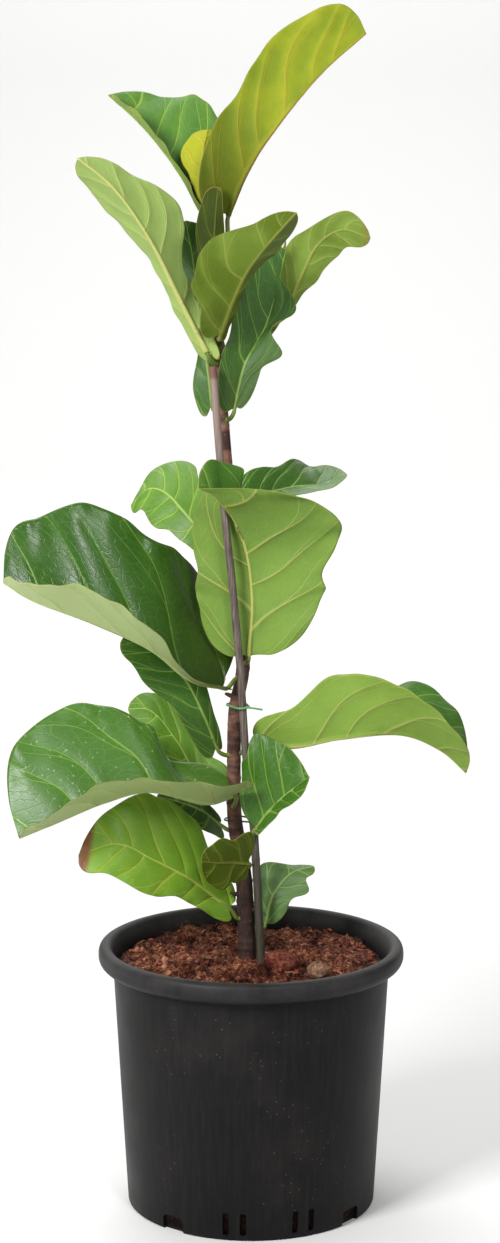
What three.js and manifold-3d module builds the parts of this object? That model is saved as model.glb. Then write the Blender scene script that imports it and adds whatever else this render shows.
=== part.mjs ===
// Potted fiddle leaf fig: a black nursery pot, coir mix, one woody trunk, a stake and its
// leaves. Millimetres, +Z up, origin at the middle of the pot's base, -Y towards the viewer.
import * as THREE from 'three';
import { mergeVertices } from 'three/addons/utils/BufferGeometryUtils.js';
import Module from 'manifold-3d';

const wasm = await Module();
wasm.setup();
const { Manifold } = wasm;
const V = (x, y, z) => new THREE.Vector3(x, y, z);
const DEG = Math.PI / 180;

// Driving sizes. The pot is taken as a common 27 cm nursery pot; the rest follows from it.
const POT_RIM_R = 135;
const POT_H = 234;
const POT_BASE_R = 110;
const POT_BODY_R = 122;
const POT_WALL = 2.5;
const LIP_BOTTOM = 214;
const GAP = 0.3;
const SOIL_TOP = 219;
const LEAF_THICK = 1.0;
const RIB_RIDGE = 1.3;
const RIB_HALF = 4;
const PETIOLE_R = 2.0;
const STALK_RINGS = 6;
const STALK_SIDES = 6;

// Curves.
// Smooth curve through points; below 0 it goes on straight.
function through(points, t) {
  const n = points.length - 1;
  const x = Math.min(Math.max(t, 0), 1) * n;
  const i = Math.min(Math.floor(x), n - 1);
  const f = x - i;
  const dim = points[0].length;
  const out = [];
  for (let k = 0; k < dim; k += 1) {
    const b = points[i][k];
    const c = points[i + 1][k];
    const a = i > 0 ? points[i - 1][k] : 2 * b - c;
    const d = i < n - 1 ? points[i + 2][k] : 2 * c - b;
    const curve = 0.5 * (2 * b + (c - a) * f + (2 * a - 5 * b + 4 * c - d) * f * f
      + (3 * b - a - 3 * c + d) * f * f * f);
    out.push(curve + Math.min(t, 0) * n * (points[1][k] - points[0][k]));
  }
  return out;
}

// The same with level ends, for values that hold still before the first and after the last.
function level(points, t) {
  const n = points.length - 1;
  const x = Math.min(Math.max(t, 0), 1) * n;
  const i = Math.min(Math.floor(x), n - 1);
  const f = x - i;
  return points[0].map((_, k) => {
    const a = points[i > 0 ? i - 1 : 1][k];
    const b = points[i][k];
    const c = points[i + 1][k];
    const d = points[i < n - 1 ? i + 2 : n - 1][k];
    return 0.5 * (2 * b + (c - a) * f + (2 * a - 5 * b + 4 * c - d) * f * f
      + (3 * b - a - 3 * c + d) * f * f * f);
  });
}

// Solids.
function toSolid(geometry) {
  const mesh = new wasm.Mesh({
    numProp: 3,
    vertProperties: new Float32Array(geometry.attributes.position.array),
    triVerts: new Uint32Array(geometry.index.array),
  });
  mesh.merge();
  return new Manifold(mesh);
}

// The same for a lathe or a box, whose corners are first made shared.
function fromShape(geometry) {
  geometry.deleteAttribute('normal');
  geometry.deleteAttribute('uv');
  return toSolid(mergeVertices(geometry, 1e-4));
}

function fromSolid(solid) {
  const mesh = solid.getMesh();
  const geometry = new THREE.BufferGeometry();
  geometry.setAttribute('position', new THREE.BufferAttribute(new Float32Array(mesh.vertProperties), 3));
  geometry.setIndex(Array.from(mesh.triVerts));
  return geometry;
}

function indexed(points, faces) {
  const geometry = new THREE.BufferGeometry();
  geometry.setAttribute('position', new THREE.Float32BufferAttribute(points.flat(), 3));
  geometry.setIndex(faces.filter((f) => new Set(f).size === 3).flat());
  return geometry;
}

// A round bar along stations [x, y, z, radius], closed with flat ends.
function bar(stations, sides) {
  const points = [];
  const faces = [];
  const count = stations.length;
  const at = stations.map((s) => V(s[0], s[1], s[2]));
  let across = V(1, 0, 0);
  stations.forEach((s, i) => {
    const ahead = at[Math.min(i + 1, count - 1)].clone().sub(at[Math.max(i - 1, 0)]).normalize();
    if (Math.abs(ahead.dot(across)) > 0.95) across = V(0, 1, 0);
    across = across.clone().addScaledVector(ahead, -ahead.dot(across)).normalize();
    const other = V(0, 0, 0).crossVectors(ahead, across);
    for (let k = 0; k < sides; k += 1) {
      const angle = (k / sides) * 2 * Math.PI;
      const p = at[i].clone().addScaledVector(across, Math.cos(angle) * s[3])
        .addScaledVector(other, Math.sin(angle) * s[3]);
      points.push([p.x, p.y, p.z]);
    }
  });
  const first = points.push([at[0].x, at[0].y, at[0].z]) - 1;
  const last = points.push([at[count - 1].x, at[count - 1].y, at[count - 1].z]) - 1;
  for (let i = 0; i < count - 1; i += 1) {
    for (let k = 0; k < sides; k += 1) {
      const a = i * sides + k;
      const b = i * sides + ((k + 1) % sides);
      faces.push([a, b, b + sides], [a, b + sides, a + sides]);
    }
  }
  for (let k = 0; k < sides; k += 1) {
    const next = (k + 1) % sides;
    faces.push([first, next, k]);
    faces.push([last, (count - 1) * sides + k, (count - 1) * sides + next]);
  }
  return toSolid(indexed(points, faces));
}

// Trunk and stake.
// [x, y, z, radius] up the stem. The lowest point is inside the coir.
const TRUNK = [
  [-3, 0, 104, 7.6], [-3, 0, 160, 7.8], [-3, 0, 222, 8.0], [-4, 2, 249, 7.6], [-6, 2, 290, 7.2],
  [-10, 4, 317, 6.8], [-15, 5, 344, 6.5], [-15, 6, 377, 6.0], [-15, 7, 413, 6.0], [-14, 8, 445, 6.0],
  [-8, 10, 468, 6.0], [-6, 12, 490, 5.8], [-9, 14, 539, 5.4], [-15, 15, 600, 5.0], [-20, 12, 650, 4.6],
  [-23, 9, 690, 4.3], [-26, 8, 730, 4.1], [-28, 8, 765, 3.9], [-27, 6, 800, 3.5], [-26, 4, 835, 3.0],
  [-25, 3, 858, 2.6],
];
// Rings of old leaf scars: height, extra radius.
const SCARS = [[236, 0.7], [270, 0.6], [312, 0.7], [358, 0.7], [396, 0.6], [430, 0.7], [478, 0.6],
  [560, 0.5]];
// Cut stubs of side shoots: height, direction round the stem in degrees, length.
const STUBS = [[276, 200, 6], [452, 150, 6], [262, 330, 5]];

const STAKE = [
  [19, -12, 12, 3.9], [9, -12, 223, 3.9], [3, -12, 334, 3.7], [-5, -12, 410, 3.6],
  [-9, -12, 478, 3.5], [-17, -14, 565, 3.5], [-22, -14, 608, 3.5], [-28, -12, 680, 3.5],
  [-32, -11, 734, 3.5], [-33, -11, 743, 3.5],
];

// Centre and radius of the trunk or the stake at a height.
function barAt(line, z) {
  let i = 0;
  while (i < line.length - 2 && line[i + 1][2] < z) i += 1;
  const f = Math.min(Math.max((z - line[i][2]) / (line[i + 1][2] - line[i][2]), 0), 1);
  return line[i].map((v, k) => v + (line[i + 1][k] - v) * f);
}
const trunkAt = (z) => barAt(TRUNK, z);

function trunkStations() {
  const stations = [];
  const heights = TRUNK.map((s) => s[2]);
  SCARS.forEach(([z]) => heights.push(z - 3, z, z + 3));
  heights.sort((a, b) => a - b).forEach((z) => {
    const s = trunkAt(z);
    SCARS.forEach(([at, extra]) => { s[3] += extra * Math.max(0, 1 - Math.abs(z - at) / 3); });
    const below = stations[stations.length - 1];
    if (!below || z - below[2] > 1.5) stations.push(s);
  });
  return stations;
}

function trunk() {
  let solid = bar(trunkStations(), 10);
  STUBS.forEach(([z, turn, length]) => {
    const [x, y, , r] = trunkAt(z);
    const dx = Math.cos(turn * DEG);
    const dy = Math.sin(turn * DEG);
    const far = r + length;
    solid = solid.add(bar([[x + dx, y + dy, z - 2, 2.4], [x + dx * far, y + dy * far, z + 3, 1.6]], 7));
  });
  return solid;
}

const stake = () => bar(STAKE, 10);

// Leaves.
// Half outline of the blade as [place along the midrib, half width], both 0..1: heart-shaped
// base lobes, a waist, then the broad end.
const OUTLINE = [[0, 0.05], [-0.045, 0.24], [-0.02, 0.46], [0.09, 0.6], [0.24, 0.61], [0.38, 0.56],
  [0.52, 0.74], [0.68, 0.97], [0.8, 1], [0.91, 0.8], [0.975, 0.42], [1, 0]];
const ACROSS = [0, 0.1, 0.4, 0.7, 1];
const STEP_FIRST = 0.1;
const STEP_LAST = 0.85;

// One entry for each leaf. rib: the midrib from base to tip. right and left: where the margin
// lies from the midrib, in mm for the blade's full half width, at even steps from 0.1 to 0.85
// of the length; right is to the right of someone at the base who looks to the tip with the
// glossy side up. foot: the height on the trunk where the stalk grows out. via: a point that
// the stalk goes round by. notch: side, place, half length and depth of a slit in the margin.
const LEAVES = {
  leaf_top_right: {
    rib: [[-19, 2, 870], [-6, -4, 901], [14, -8, 934], [56, -4, 985], [97, 6, 1022]],
    right: [[-50, -18, 44], [-50, 6, 62], [-34, 22, 50], [-10, 24, 46]],
    left: [[0, 40, 10], [4, 56, 8], [0, 44, 12]],
    foot: 851,
  },
  leaf_top_left: {
    rib: [[-41, 6, 871], [-57, 14, 900], [-74, 24, 924], [-97, 38, 950], [-123, 50, 973]],
    right: [[56, 20, 66], [70, 24, 70], [45, 20, 40], [28, 16, 13]],
    left: [[0, -18, 6], [2, -34, 5], [2, -24, 4]],
    foot: 848,
  },
  leaf_top_young: {
    rib: [[-36, 2.5, 880], [-40, 3.5, 900], [-41, 5.5, 921], [-37, 9.5, 942]],
    right: [[-16, 2, 4], [-24, 4, 3], [-15, 6, 2]],
    left: [[16, 0, 5], [22, 0, 6], [13, 4, 4]],
    foot: 855,
  },
  leaf_upper_left: {
    rib: [[-38, -6, 755], [-59, -12, 796], [-84, -22, 847], [-114, -28, 891], [-145, -30, 917]],
    right: [[-14, 24, -4], [-12, 36, -8], [-15, 32, -10]],
    left: [[20, 6, 4], [22, 30, 8], [38, 36, 16], [12, 30, 12]],
    foot: 744,
  },
  leaf_upper_front: {
    rib: [[-26, -14, 769], [-15, -34, 799], [-3, -52, 824], [12, -70, 844], [37, -90, 872]],
    right: [[-34, -6, 12], [-68, 12, 16], [-46, 20, 16], [-18, 18, 8]],
    left: [[10, 22, 0], [8, 34, -4], [8, 24, -6]],
    foot: 766,
  },
  leaf_upper_right: {
    rib: [[33, 30, 796], [45, 26, 822], [58, 22, 846], [78, 14, 858], [102, 8, 851]],
    right: [[-28, -2, 25], [-37, 0, 19], [-17, 0, 9], [-1, 0, 17]],
    left: [[10, 12, -8], [20, 6, -20], [11, 8, -20], [0, 4, -14]],
    foot: 745,
  },
  leaf_upper_low_right: {
    rib: [[-14, 0, 706], [-6, 3, 742], [11, 8, 773], [22, 12, 806], [30, 14, 842]],
    right: [[32, -8, 30], [54, -12, 20], [24, -4, 26], [32, 0, 14], [0, 2, 26], [2, 3, 24]],
    left: [[-28, -6, 14], [-38, -8, 20], [-20, 0, 14]],
    foot: 696,
  },
  leaf_upper_back: {
    rib: [[-34, 34, 706], [-38, 38, 741], [-45, 48, 789], [-51, 56, 834], [-57, 60, 866]],
    right: [[30, 12, 4], [30, 12, 4], [26, 10, 2]],
    left: [[-24, 8, -6], [-8, 8, -2], [-12, 8, 0], [-20, 8, -2]],
    foot: 712,
  },
  leaf_upper_inner: {
    rib: [[-26, -4, 777], [-29, -8, 807], [-31, -10, 849], [-28, -12, 894]],
    right: [[-12, 10, 2], [-20, 2, 6], [-13, 0, 6]],
    left: [[10, -9, 4], [12, 2, 4], [6, 0, 4]],
    foot: 773,
  },
  leaf_mid_back_left: {
    rib: [[-46, 30, 598], [-60, 44, 613], [-75, 58, 627], [-91, 68, 630], [-107, 74, 615]],
    right: [[30, 20, 36], [34, 28, 33], [8, 20, 18]],
    left: [[-2, -14, -36], [-14, -18, -40], [-2, -14, -14]],
    foot: 590,
  },
  leaf_mid_back_right: {
    rib: [[-7, 36, 621], [10, 50, 627], [39, 70, 632], [64, 84, 633], [85, 92, 642]],
    right: [[6, -10, -8], [4, -24, -8], [8, -22, 0]],
    left: [[-8, 25, 36], [-4, 30, 32], [-10, 24, 12]],
    foot: 613,
  },
  leaf_mid_front: {
    rib: [[-2, -4, 491], [1, -3, 535], [-3, -4, 578], [-14, -16, 610], [-30, -31, 632], [-45, -38, 641]],
    right: [[-72, 6, 34], [-80, 8, 26], [-84, 9, 20], [-72, 14, 18], [-42, 14, 42], [10, 6, 40], [-4, 8, 38]],
    left: [[96, -14, 44], [110, -14, 16], [98, -10, 8], [78, -4, 4]],
    foot: 484,
    notch: ['right', 0.68, 0.045, 0.97],
  },
  leaf_mid_left: {
    rib: [[-24, -4, 463], [-54, -20, 474], [-87, -32, 502], [-136, -40, 526], [-185, -42, 545], [-211, -42, 561]],
    right: [[8, 84, 138], [8, 70, 160], [0, 40, 114], [-8, 26, 72]],
    left: [[0, -14, 4], [0, -100, 52], [0, -90, 48], [0, -66, 26]],
    foot: 470,
  },
  leaf_low_left: {
    rib: [[-30, -2, 410], [-41, -4, 438], [-57, -6, 470], [-80, -12, 493], [-110, -16, 511]],
    right: [[8, 10, 14], [18, 16, 22], [8, 12, 16]],
    left: [[-26, -12, -10], [-34, -14, -16], [-14, -8, -12]],
    foot: 402,
  },
  leaf_low_big_left: {
    rib: [[-17, -20, 370], [-41, -28, 366], [-87, -40, 379], [-126, -48, 371], [-166, -54, 355], [-201, -54, 341]],
    right: [[-50, 44, 50], [-20, 58, 98], [-16, 50, 92], [-34, 36, 68]],
    left: [[30, -46, 36], [6, -70, 34], [4, -64, 34], [4, -46, 20]],
    foot: 357,
  },
  leaf_low_back_left: {
    rib: [[-26, 24, 370], [-47, 36, 377], [-67, 50, 406], [-89, 62, 430], [-111, 70, 431]],
    right: [[10, 20, 30], [10, 22, 34], [0, 14, 14]],
    left: [[-10, -12, -18], [-10, -15, -20], [0, -10, -14]],
    foot: 364,
  },
  leaf_bottom_left: {
    rib: [[-19, -6, 266], [-53, -20, 296], [-85, -34, 317], [-115, -42, 333], [-149, -46, 324]],
    right: [[0, 26, 44], [10, 36, 88], [8, 28, 56], [6, 16, 32]],
    left: [[-14, -14, -18], [-4, -20, -36], [-6, -14, -22]],
    foot: 256,
  },
  leaf_low_under: {
    rib: [[-28, 10, 339], [-43, 17, 349], [-63, 25, 355], [-84, 31, 359]],
    right: [[-2, 12, 14], [4, 12, 14], [2, 8, 8]],
    left: [[6, -3, -26], [-2, -3, -32], [2, -6, -20]],
    foot: 334,
  },
  leaf_low_front: {
    rib: [[-3, -19, 310], [-16, -31, 314], [-29, -44, 317], [-43, -56, 321]],
    right: [[-6, 4, -30], [2, 10, -34], [0, 10, -22]],
    left: [[12, -10, 48], [2, -12, 34], [0, -4, 15]],
    foot: 301,
  },
  leaf_low_right: {
    rib: [[4, -23, 342], [15, -26, 358], [31, -36, 376], [50, -46, 393]],
    right: [[8, -12, -6], [10, -20, -4], [2, -12, -6]],
    left: [[-28, 9, 52], [-42, 15, 76], [-32, 19, 58], [-16, 17, 34]],
    foot: 322,
    via: [-5, -15, 329],
  },
  leaf_right_arch: {
    rib: [[10, 0, 409], [44, -6, 412], [78, -12, 420], [129, -18, 425], [164, -22, 412], [187, -24, 392]],
    right: [[0, -14, 56], [2, -34, 108], [6, -44, 56], [10, -40, 26]],
    left: [[0, 28, 4], [4, 60, 12], [10, 56, 40], [14, 46, 32]],
    foot: 404,
  },
  leaf_bottom_right: {
    rib: [[13, 2, 250], [19, 6, 274], [35, 12, 293], [56, 16, 299]],
    right: [[30, -8, 16], [34, -10, -8], [6, -6, -6]],
    left: [[-14, 9, 14], [-26, 12, 20], [-6, 8, 2]],
    foot: 245,
  },
};

// The midrib by true length, 0 at the base and 1 at the tip.
const FINE = 160;
function measured(rib) {
  const at = Array.from({ length: FINE + 1 }, (_, i) => V(...through(rib, i / FINE)));
  const run = [0];
  for (let i = 1; i <= FINE; i += 1) run.push(run[i - 1] + at[i].distanceTo(at[i - 1]));
  return run.map((r) => r / run[FINE]);
}
Object.values(LEAVES).forEach((leaf) => { leaf.run = measured(leaf.rib); });

function midrib(leaf, place) {
  if (place <= 0) return V(...through(leaf.rib, (place * leaf.run.at(1) ** -1) / FINE));
  let i = 0;
  while (i < FINE - 1 && leaf.run[i + 1] < place) i += 1;
  const f = (place - leaf.run[i]) / (leaf.run[i + 1] - leaf.run[i]);
  return V(...through(leaf.rib, (i + Math.min(f, 1)) / FINE));
}

// A point of the blade: how far along the outline, how far from the midrib to the margin.
function bladePoint(leaf, side, s, u) {
  const [along, half] = through(OUTLINE, s);
  let start = s ** 1.25;
  let width = Math.max(half, 0);
  if (leaf.notch && leaf.notch[0] === side) {
    const [, place, reach, depth] = leaf.notch;
    width *= 1 - depth * Math.exp(-(((along - place) / reach) ** 4));
    const straight = Math.exp(-(((along - place) / (2.2 * reach)) ** 4));
    start += (Math.min(Math.max(along, 0), 1) - start) * straight;
  }
  const place = start + (along - start) * u ** 1.4;
  const rib = midrib(leaf, place);
  const margin = level(leaf[side], (place - STEP_FIRST) / (STEP_LAST - STEP_FIRST));
  return rib.addScaledVector(V(...margin), width * u);
}

// Where the rows of a blade lie, 0 at the base and 1 at the tip: even ones, with more of them
// across a slit in the margin.
const ROWS = 10;
const SLIT_ROWS = [-1.5, -1, -0.6, -0.3, 0, 0.3, 0.6, 1, 1.5];

function rowsOf(leaf) {
  const even = Array.from({ length: ROWS + 1 }, (_, i) => i / ROWS);
  if (!leaf.notch) return even;
  const [, place, reach] = leaf.notch;
  const fine = SLIT_ROWS.map((k) => {
    let [low, high] = [0.3, 0.9];
    for (let i = 0; i < 24; i += 1) {
      const middle = (low + high) / 2;
      if (through(OUTLINE, middle)[0] < place + k * reach) low = middle;
      else high = middle;
    }
    return low;
  });
  const [first, last] = [fine[0] - 0.02, fine[fine.length - 1] + 0.02];
  return [...even.filter((s) => s < first), ...fine, ...even.filter((s) => s > last)];
}

// How far the trunk's skin reaches in a direction near a height, with its lean and scars.
function trunkReach(height, out) {
  const [x, y, , r] = trunkAt(height);
  const stations = [height - 3, height + 3].map((z) => trunkAt(z))
    .concat(trunkStations().filter((p) => Math.abs(p[2] - height) < 4));
  return Math.max(r, ...stations.map((p) => (p[0] - x) * out.x + (p[1] - y) * out.y + p[3]));
}

// Rings of the stalk, from a flat foot a hair off the trunk to just short of the blade.
function stalkRings(leaf) {
  const base = midrib(leaf, 0);
  const ahead = midrib(leaf, 0.04).sub(base).normalize();
  const [tx, ty] = trunkAt(leaf.foot);
  const target = leaf.via ? V(...leaf.via) : base;
  const out = V(target.x - tx, target.y - ty, 0).normalize();
  const foot = V(tx, ty, leaf.foot).addScaledVector(out, trunkReach(leaf.foot, out) + GAP + 0.1);
  const last = base.clone().addScaledVector(ahead, -1.2);
  const reach = foot.distanceTo(last) / 3;
  const leave = leaf.via ? V(...leaf.via) : foot.clone().addScaledVector(out, reach);
  const arrive = last.clone().addScaledVector(ahead, -reach);
  const curve = new THREE.CubicBezierCurve3(foot, leave, arrive, last);
  const end = Math.min(PETIOLE_R, 0.6 + 0.02 * V(...leaf.left[1]).length() * 1.1);
  const rings = [];
  let across = V(-out.y, out.x, 0);
  for (let i = 0; i <= STALK_RINGS; i += 1) {
    const f = i / STALK_RINGS;
    const along = i === 0 ? out : curve.getTangent(f);
    across = across.clone().addScaledVector(along, -along.dot(across)).normalize();
    const other = V(0, 0, 0).crossVectors(along, across);
    const r = PETIOLE_R * (i < 2 ? 1.12 : 1) + (end - PETIOLE_R) * f ** 2;
    rings.push({ at: curve.getPoint(f), across, other, r });
  }
  return rings;
}

// A leaf in one closed skin: the two faces of the blade on one grid, cut into triangles
// alike, the rim between them, and the stalk, whose last ring is sewn to the blade's base.
function leafSolid(leaf) {
  const rows = rowsOf(leaf);
  const lines = rows.length - 1;
  const half = ACROSS.length - 1;
  const wide = 2 * half + 1;
  const grid = [];
  rows.forEach((s) => {
    for (let j = -half; j <= half; j += 1) {
      const side = j < 0 ? 'left' : 'right';
      const margin = bladePoint(leaf, side, s, 1).distanceTo(bladePoint(leaf, side, s, 0));
      const u = Math.abs(j) === 1 ? Math.min(RIB_HALF / Math.max(margin, 1), 0.2) : ACROSS[Math.abs(j)];
      grid.push(bladePoint(leaf, side, s, u));
    }
  });
  const g = (a, b) => grid[Math.min(Math.max(a, 0), lines) * wide + Math.min(Math.max(b, 0), wide - 1)];
  const id = (i, j) => (i === lines ? lines * wide : i * wide + j);
  const under = lines * wide + 1;
  const points = [];
  for (let i = 0; i <= lines; i += 1) {
    const from = Math.min(i, lines - 1);
    for (let j = 0; j < (i === lines ? 1 : wide); j += 1) {
      const col = i === lines ? half : j;
      const over = g(from, col + 1).clone().sub(g(from, col - 1));
      const ahead = g(from + 1, col).clone().sub(g(from - 1, col));
      const up = over.cross(ahead).normalize();
      const ridge = col === half && i < lines ? RIB_RIDGE * (1 - rows[i]) : 0;
      points[id(i, j)] = g(i, col).clone().addScaledVector(up, LEAF_THICK / 2);
      points[under + id(i, j)] = g(i, col).clone().addScaledVector(up, -LEAF_THICK / 2 - ridge);
    }
  }
  const faces = [];
  for (let i = 0; i < lines; i += 1) {
    for (let j = 0; j < wide - 1; j += 1) {
      const [a, b, c, d] = [id(i, j), id(i, j + 1), id(i + 1, j + 1), id(i + 1, j)];
      faces.push([a, b, c], [a, c, d]);
      faces.push([under + a, under + c, under + b], [under + a, under + d, under + c]);
    }
    [[0, 1], [wide - 1, -1]].forEach(([j, way]) => {
      const [a, d] = [id(i, j), id(i + 1, j)];
      const rim = [[a, d, under + d], [a, under + d, under + a]];
      rim.forEach((f) => faces.push(way > 0 ? f : [f[0], f[2], f[1]]));
    });
  }
  const rings = stalkRings(leaf);
  const start = points.length;
  rings.forEach(({ at, across, other, r }) => {
    for (let k = 0; k < STALK_SIDES; k += 1) {
      const angle = (k / STALK_SIDES) * 2 * Math.PI;
      points.push(at.clone().addScaledVector(across, Math.cos(angle) * r)
        .addScaledVector(other, Math.sin(angle) * r));
    }
  });
  const foot = points.push(rings[0].at.clone()) - 1;
  const ringId = (i, k) => start + i * STALK_SIDES + (((k % STALK_SIDES) + STALK_SIDES) % STALK_SIDES);
  for (let k = 0; k < STALK_SIDES; k += 1) {
    faces.push([foot, ringId(0, k + 1), ringId(0, k)]);
    for (let i = 0; i < rings.length - 1; i += 1) {
      faces.push([ringId(i, k), ringId(i, k + 1), ringId(i + 1, k + 1)]);
      faces.push([ringId(i, k), ringId(i + 1, k + 1), ringId(i + 1, k)]);
    }
  }
  const loop = [];
  for (let j = 0; j < wide; j += 1) loop.push(j);
  for (let j = wide - 1; j >= 0; j -= 1) loop.push(under + j);
  const lastRing = Array.from({ length: STALK_SIDES }, (_, k) => ringId(rings.length - 1, k));
  sew(faces, points, lastRing, loop);
  return toSolid(indexed(points.map((p) => [p.x, p.y, p.z]), faces));
}

// Triangles between a ring and the loop round the blade's base. Both run the same way round;
// the loop starts at the corner that keeps the seams short.
function sew(faces, points, ring, loop) {
  const count = loop.length;
  const pair = (k, start) => loop[(start + Math.round((k * count) / ring.length)) % count];
  let best = [Infinity, 0];
  for (let start = 0; start < count; start += 1) {
    const sum = ring.reduce((t, id, k) => t + points[id].distanceTo(points[pair(k, start)]), 0);
    if (sum < best[0]) best = [sum, start];
  }
  const ordered = loop.slice(best[1]).concat(loop.slice(0, best[1]));
  let [i, j] = [0, 0];
  while (i < ring.length || j < count) {
    const here = ring[i % ring.length];
    const there = ordered[j % count];
    if (j >= count || (i < ring.length && (i + 0.5) / ring.length < (j + 0.5) / count)) {
      i += 1;
      faces.push([here, ring[i % ring.length], there]);
    } else {
      j += 1;
      faces.push([here, ordered[j % count], there]);
    }
  }
}

// Pot.
// Low openings: notches in the base edge and pairs of slots above it, in degrees from the
// viewer's side towards the right.
const NOTCH_TURNS = [-38, 52, 142, 232];
const SLOT_TURNS = [-7.5, 24, 172.5, 204];
const NOTCH = { wide: 22, high: 14, deep: 10 };
const SLOT = { wide: 5.6, high: 20, deep: 16, from: 5, apart: 15 };

function ring(profile, segments) {
  const curve = profile.map(([r, z]) => new THREE.Vector2(r, z));
  return fromShape(new THREE.LatheGeometry(curve, segments).rotateX(Math.PI / 2));
}

const wallRadius = (z) => POT_BASE_R + (POT_BODY_R - POT_BASE_R) * (z / LIP_BOTTOM);

function boxAt(wide, deep, high, turn, offset, z, radius) {
  const shape = new THREE.BoxGeometry(wide, deep, high).translate(offset, -radius, z + high / 2)
    .rotateZ(turn * DEG);
  return fromShape(shape);
}

function pot() {
  const inner = POT_BODY_R - POT_WALL;
  let solid = ring([
    [0, 0], [POT_BASE_R - 2, 0], [POT_BASE_R, 2], [POT_BODY_R, LIP_BOTTOM], [128, 215.5], [132.6, 218],
    [POT_RIM_R, 222], [POT_RIM_R, 228.5], [133.8, 232], [130, POT_H], [126, POT_H], [123.5, 232.5],
    [inner, LIP_BOTTOM], [POT_BASE_R - POT_WALL, 3], [0, 3],
  ], 56);
  NOTCH_TURNS.forEach((turn) => {
    solid = solid.subtract(boxAt(NOTCH.wide, NOTCH.deep, NOTCH.high + 1, turn, 0, -1, wallRadius(6)));
  });
  SLOT_TURNS.forEach((turn) => {
    [-1, 1].forEach((side) => {
      const offset = (side * SLOT.apart) / 2;
      solid = solid.subtract(boxAt(SLOT.wide, SLOT.deep, SLOT.high, turn, offset, SLOT.from, wallRadius(15)));
    });
  });
  return solid;
}

// Coir.
function lump(x, y, seed) {
  return Math.sin(x * 0.11 + seed) * Math.cos(y * 0.13 - seed * 1.7)
    + 0.6 * Math.sin(x * 0.23 - y * 0.19 + seed * 2.3) + 0.4 * Math.cos(x * 0.05 + y * 0.37 + seed);
}

// Loose clods on the coir, and the wide mounds that it is heaped in: place, radius and, for a
// mound, its height, in mm.
const CLODS = [[27, -50, 17], [-2, -54, 9], [60, -60, 8], [-46, -56, 9], [-74, -20, 10], [84, -12, 9],
  [-26, -84, 8], [46, 66, 11], [-58, 48, 10], [-10, 80, 9], [-92, 14, 7]];
const MOUNDS = [[-46, 66, 46, 6], [82, 40, 40, 4], [-60, -10, 30, 2]];

function soilHeight(x, y, reach) {
  const edge = Math.sqrt(x * x + y * y) / reach;
  let z = SOIL_TOP + 1.8 * lump(x, y, 1) - 6 * edge ** 5;
  CLODS.forEach(([cx, cy, r]) => {
    const d = Math.hypot(x - cx, y - cy) / r;
    if (d < 1) z += r * 0.65 * (1 - d * d);
  });
  MOUNDS.forEach(([cx, cy, r, high]) => {
    const d = Math.hypot(x - cx, y - cy) / r;
    if (d < 1) z += high * (1 - d * d) ** 2;
  });
  return z;
}

function soil() {
  const segments = 56;
  const rings = [0.12, 0.26, 0.4, 0.53, 0.65, 0.76, 0.86, 0.94, 1];
  const reach = POT_BODY_R - POT_WALL - GAP;
  const floorReach = POT_BASE_R - POT_WALL - GAP - 0.2;
  const points = [];
  const faces = [];
  rings.forEach((f) => {
    for (let k = 0; k < segments; k += 1) {
      const angle = (k / segments) * 2 * Math.PI;
      const x = reach * f * Math.cos(angle);
      const y = reach * f * Math.sin(angle);
      points.push([x, y, f === 1 ? LIP_BOTTOM - 1 : soilHeight(x, y, reach)]);
    }
  });
  const low = points.length;
  for (let k = 0; k < segments; k += 1) {
    const angle = (k / segments) * 2 * Math.PI;
    points.push([floorReach * Math.cos(angle), floorReach * Math.sin(angle), 3 + GAP]);
  }
  const top = points.push([0, 0, soilHeight(0, 0, reach)]) - 1;
  const bottom = points.push([0, 0, 3 + GAP]) - 1;
  for (let k = 0; k < segments; k += 1) {
    const n = (k + 1) % segments;
    faces.push([top, k, n], [bottom, low + n, low + k]);
    for (let i = 0; i < rings.length; i += 1) {
      const a = i * segments;
      const b = (i + 1) * segments;
      faces.push([a + k, b + k, b + n], [a + k, b + n, a + n]);
    }
  }
  const rootBar = TRUNK.slice(0, 4).map(([x, y, z, r]) => [x, y, z, r + GAP]);
  rootBar[0] = [rootBar[0][0], rootBar[0][1], rootBar[0][2] - GAP, rootBar[0][3]];
  const stakeBar = STAKE.slice(0, 3).map(([x, y, z, r]) => [x, y, z, r + GAP]);
  stakeBar[0][2] -= GAP;
  return toSolid(indexed(points, faces)).subtract(bar(rootBar, 10)).subtract(bar(stakeBar, 10));
}

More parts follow.
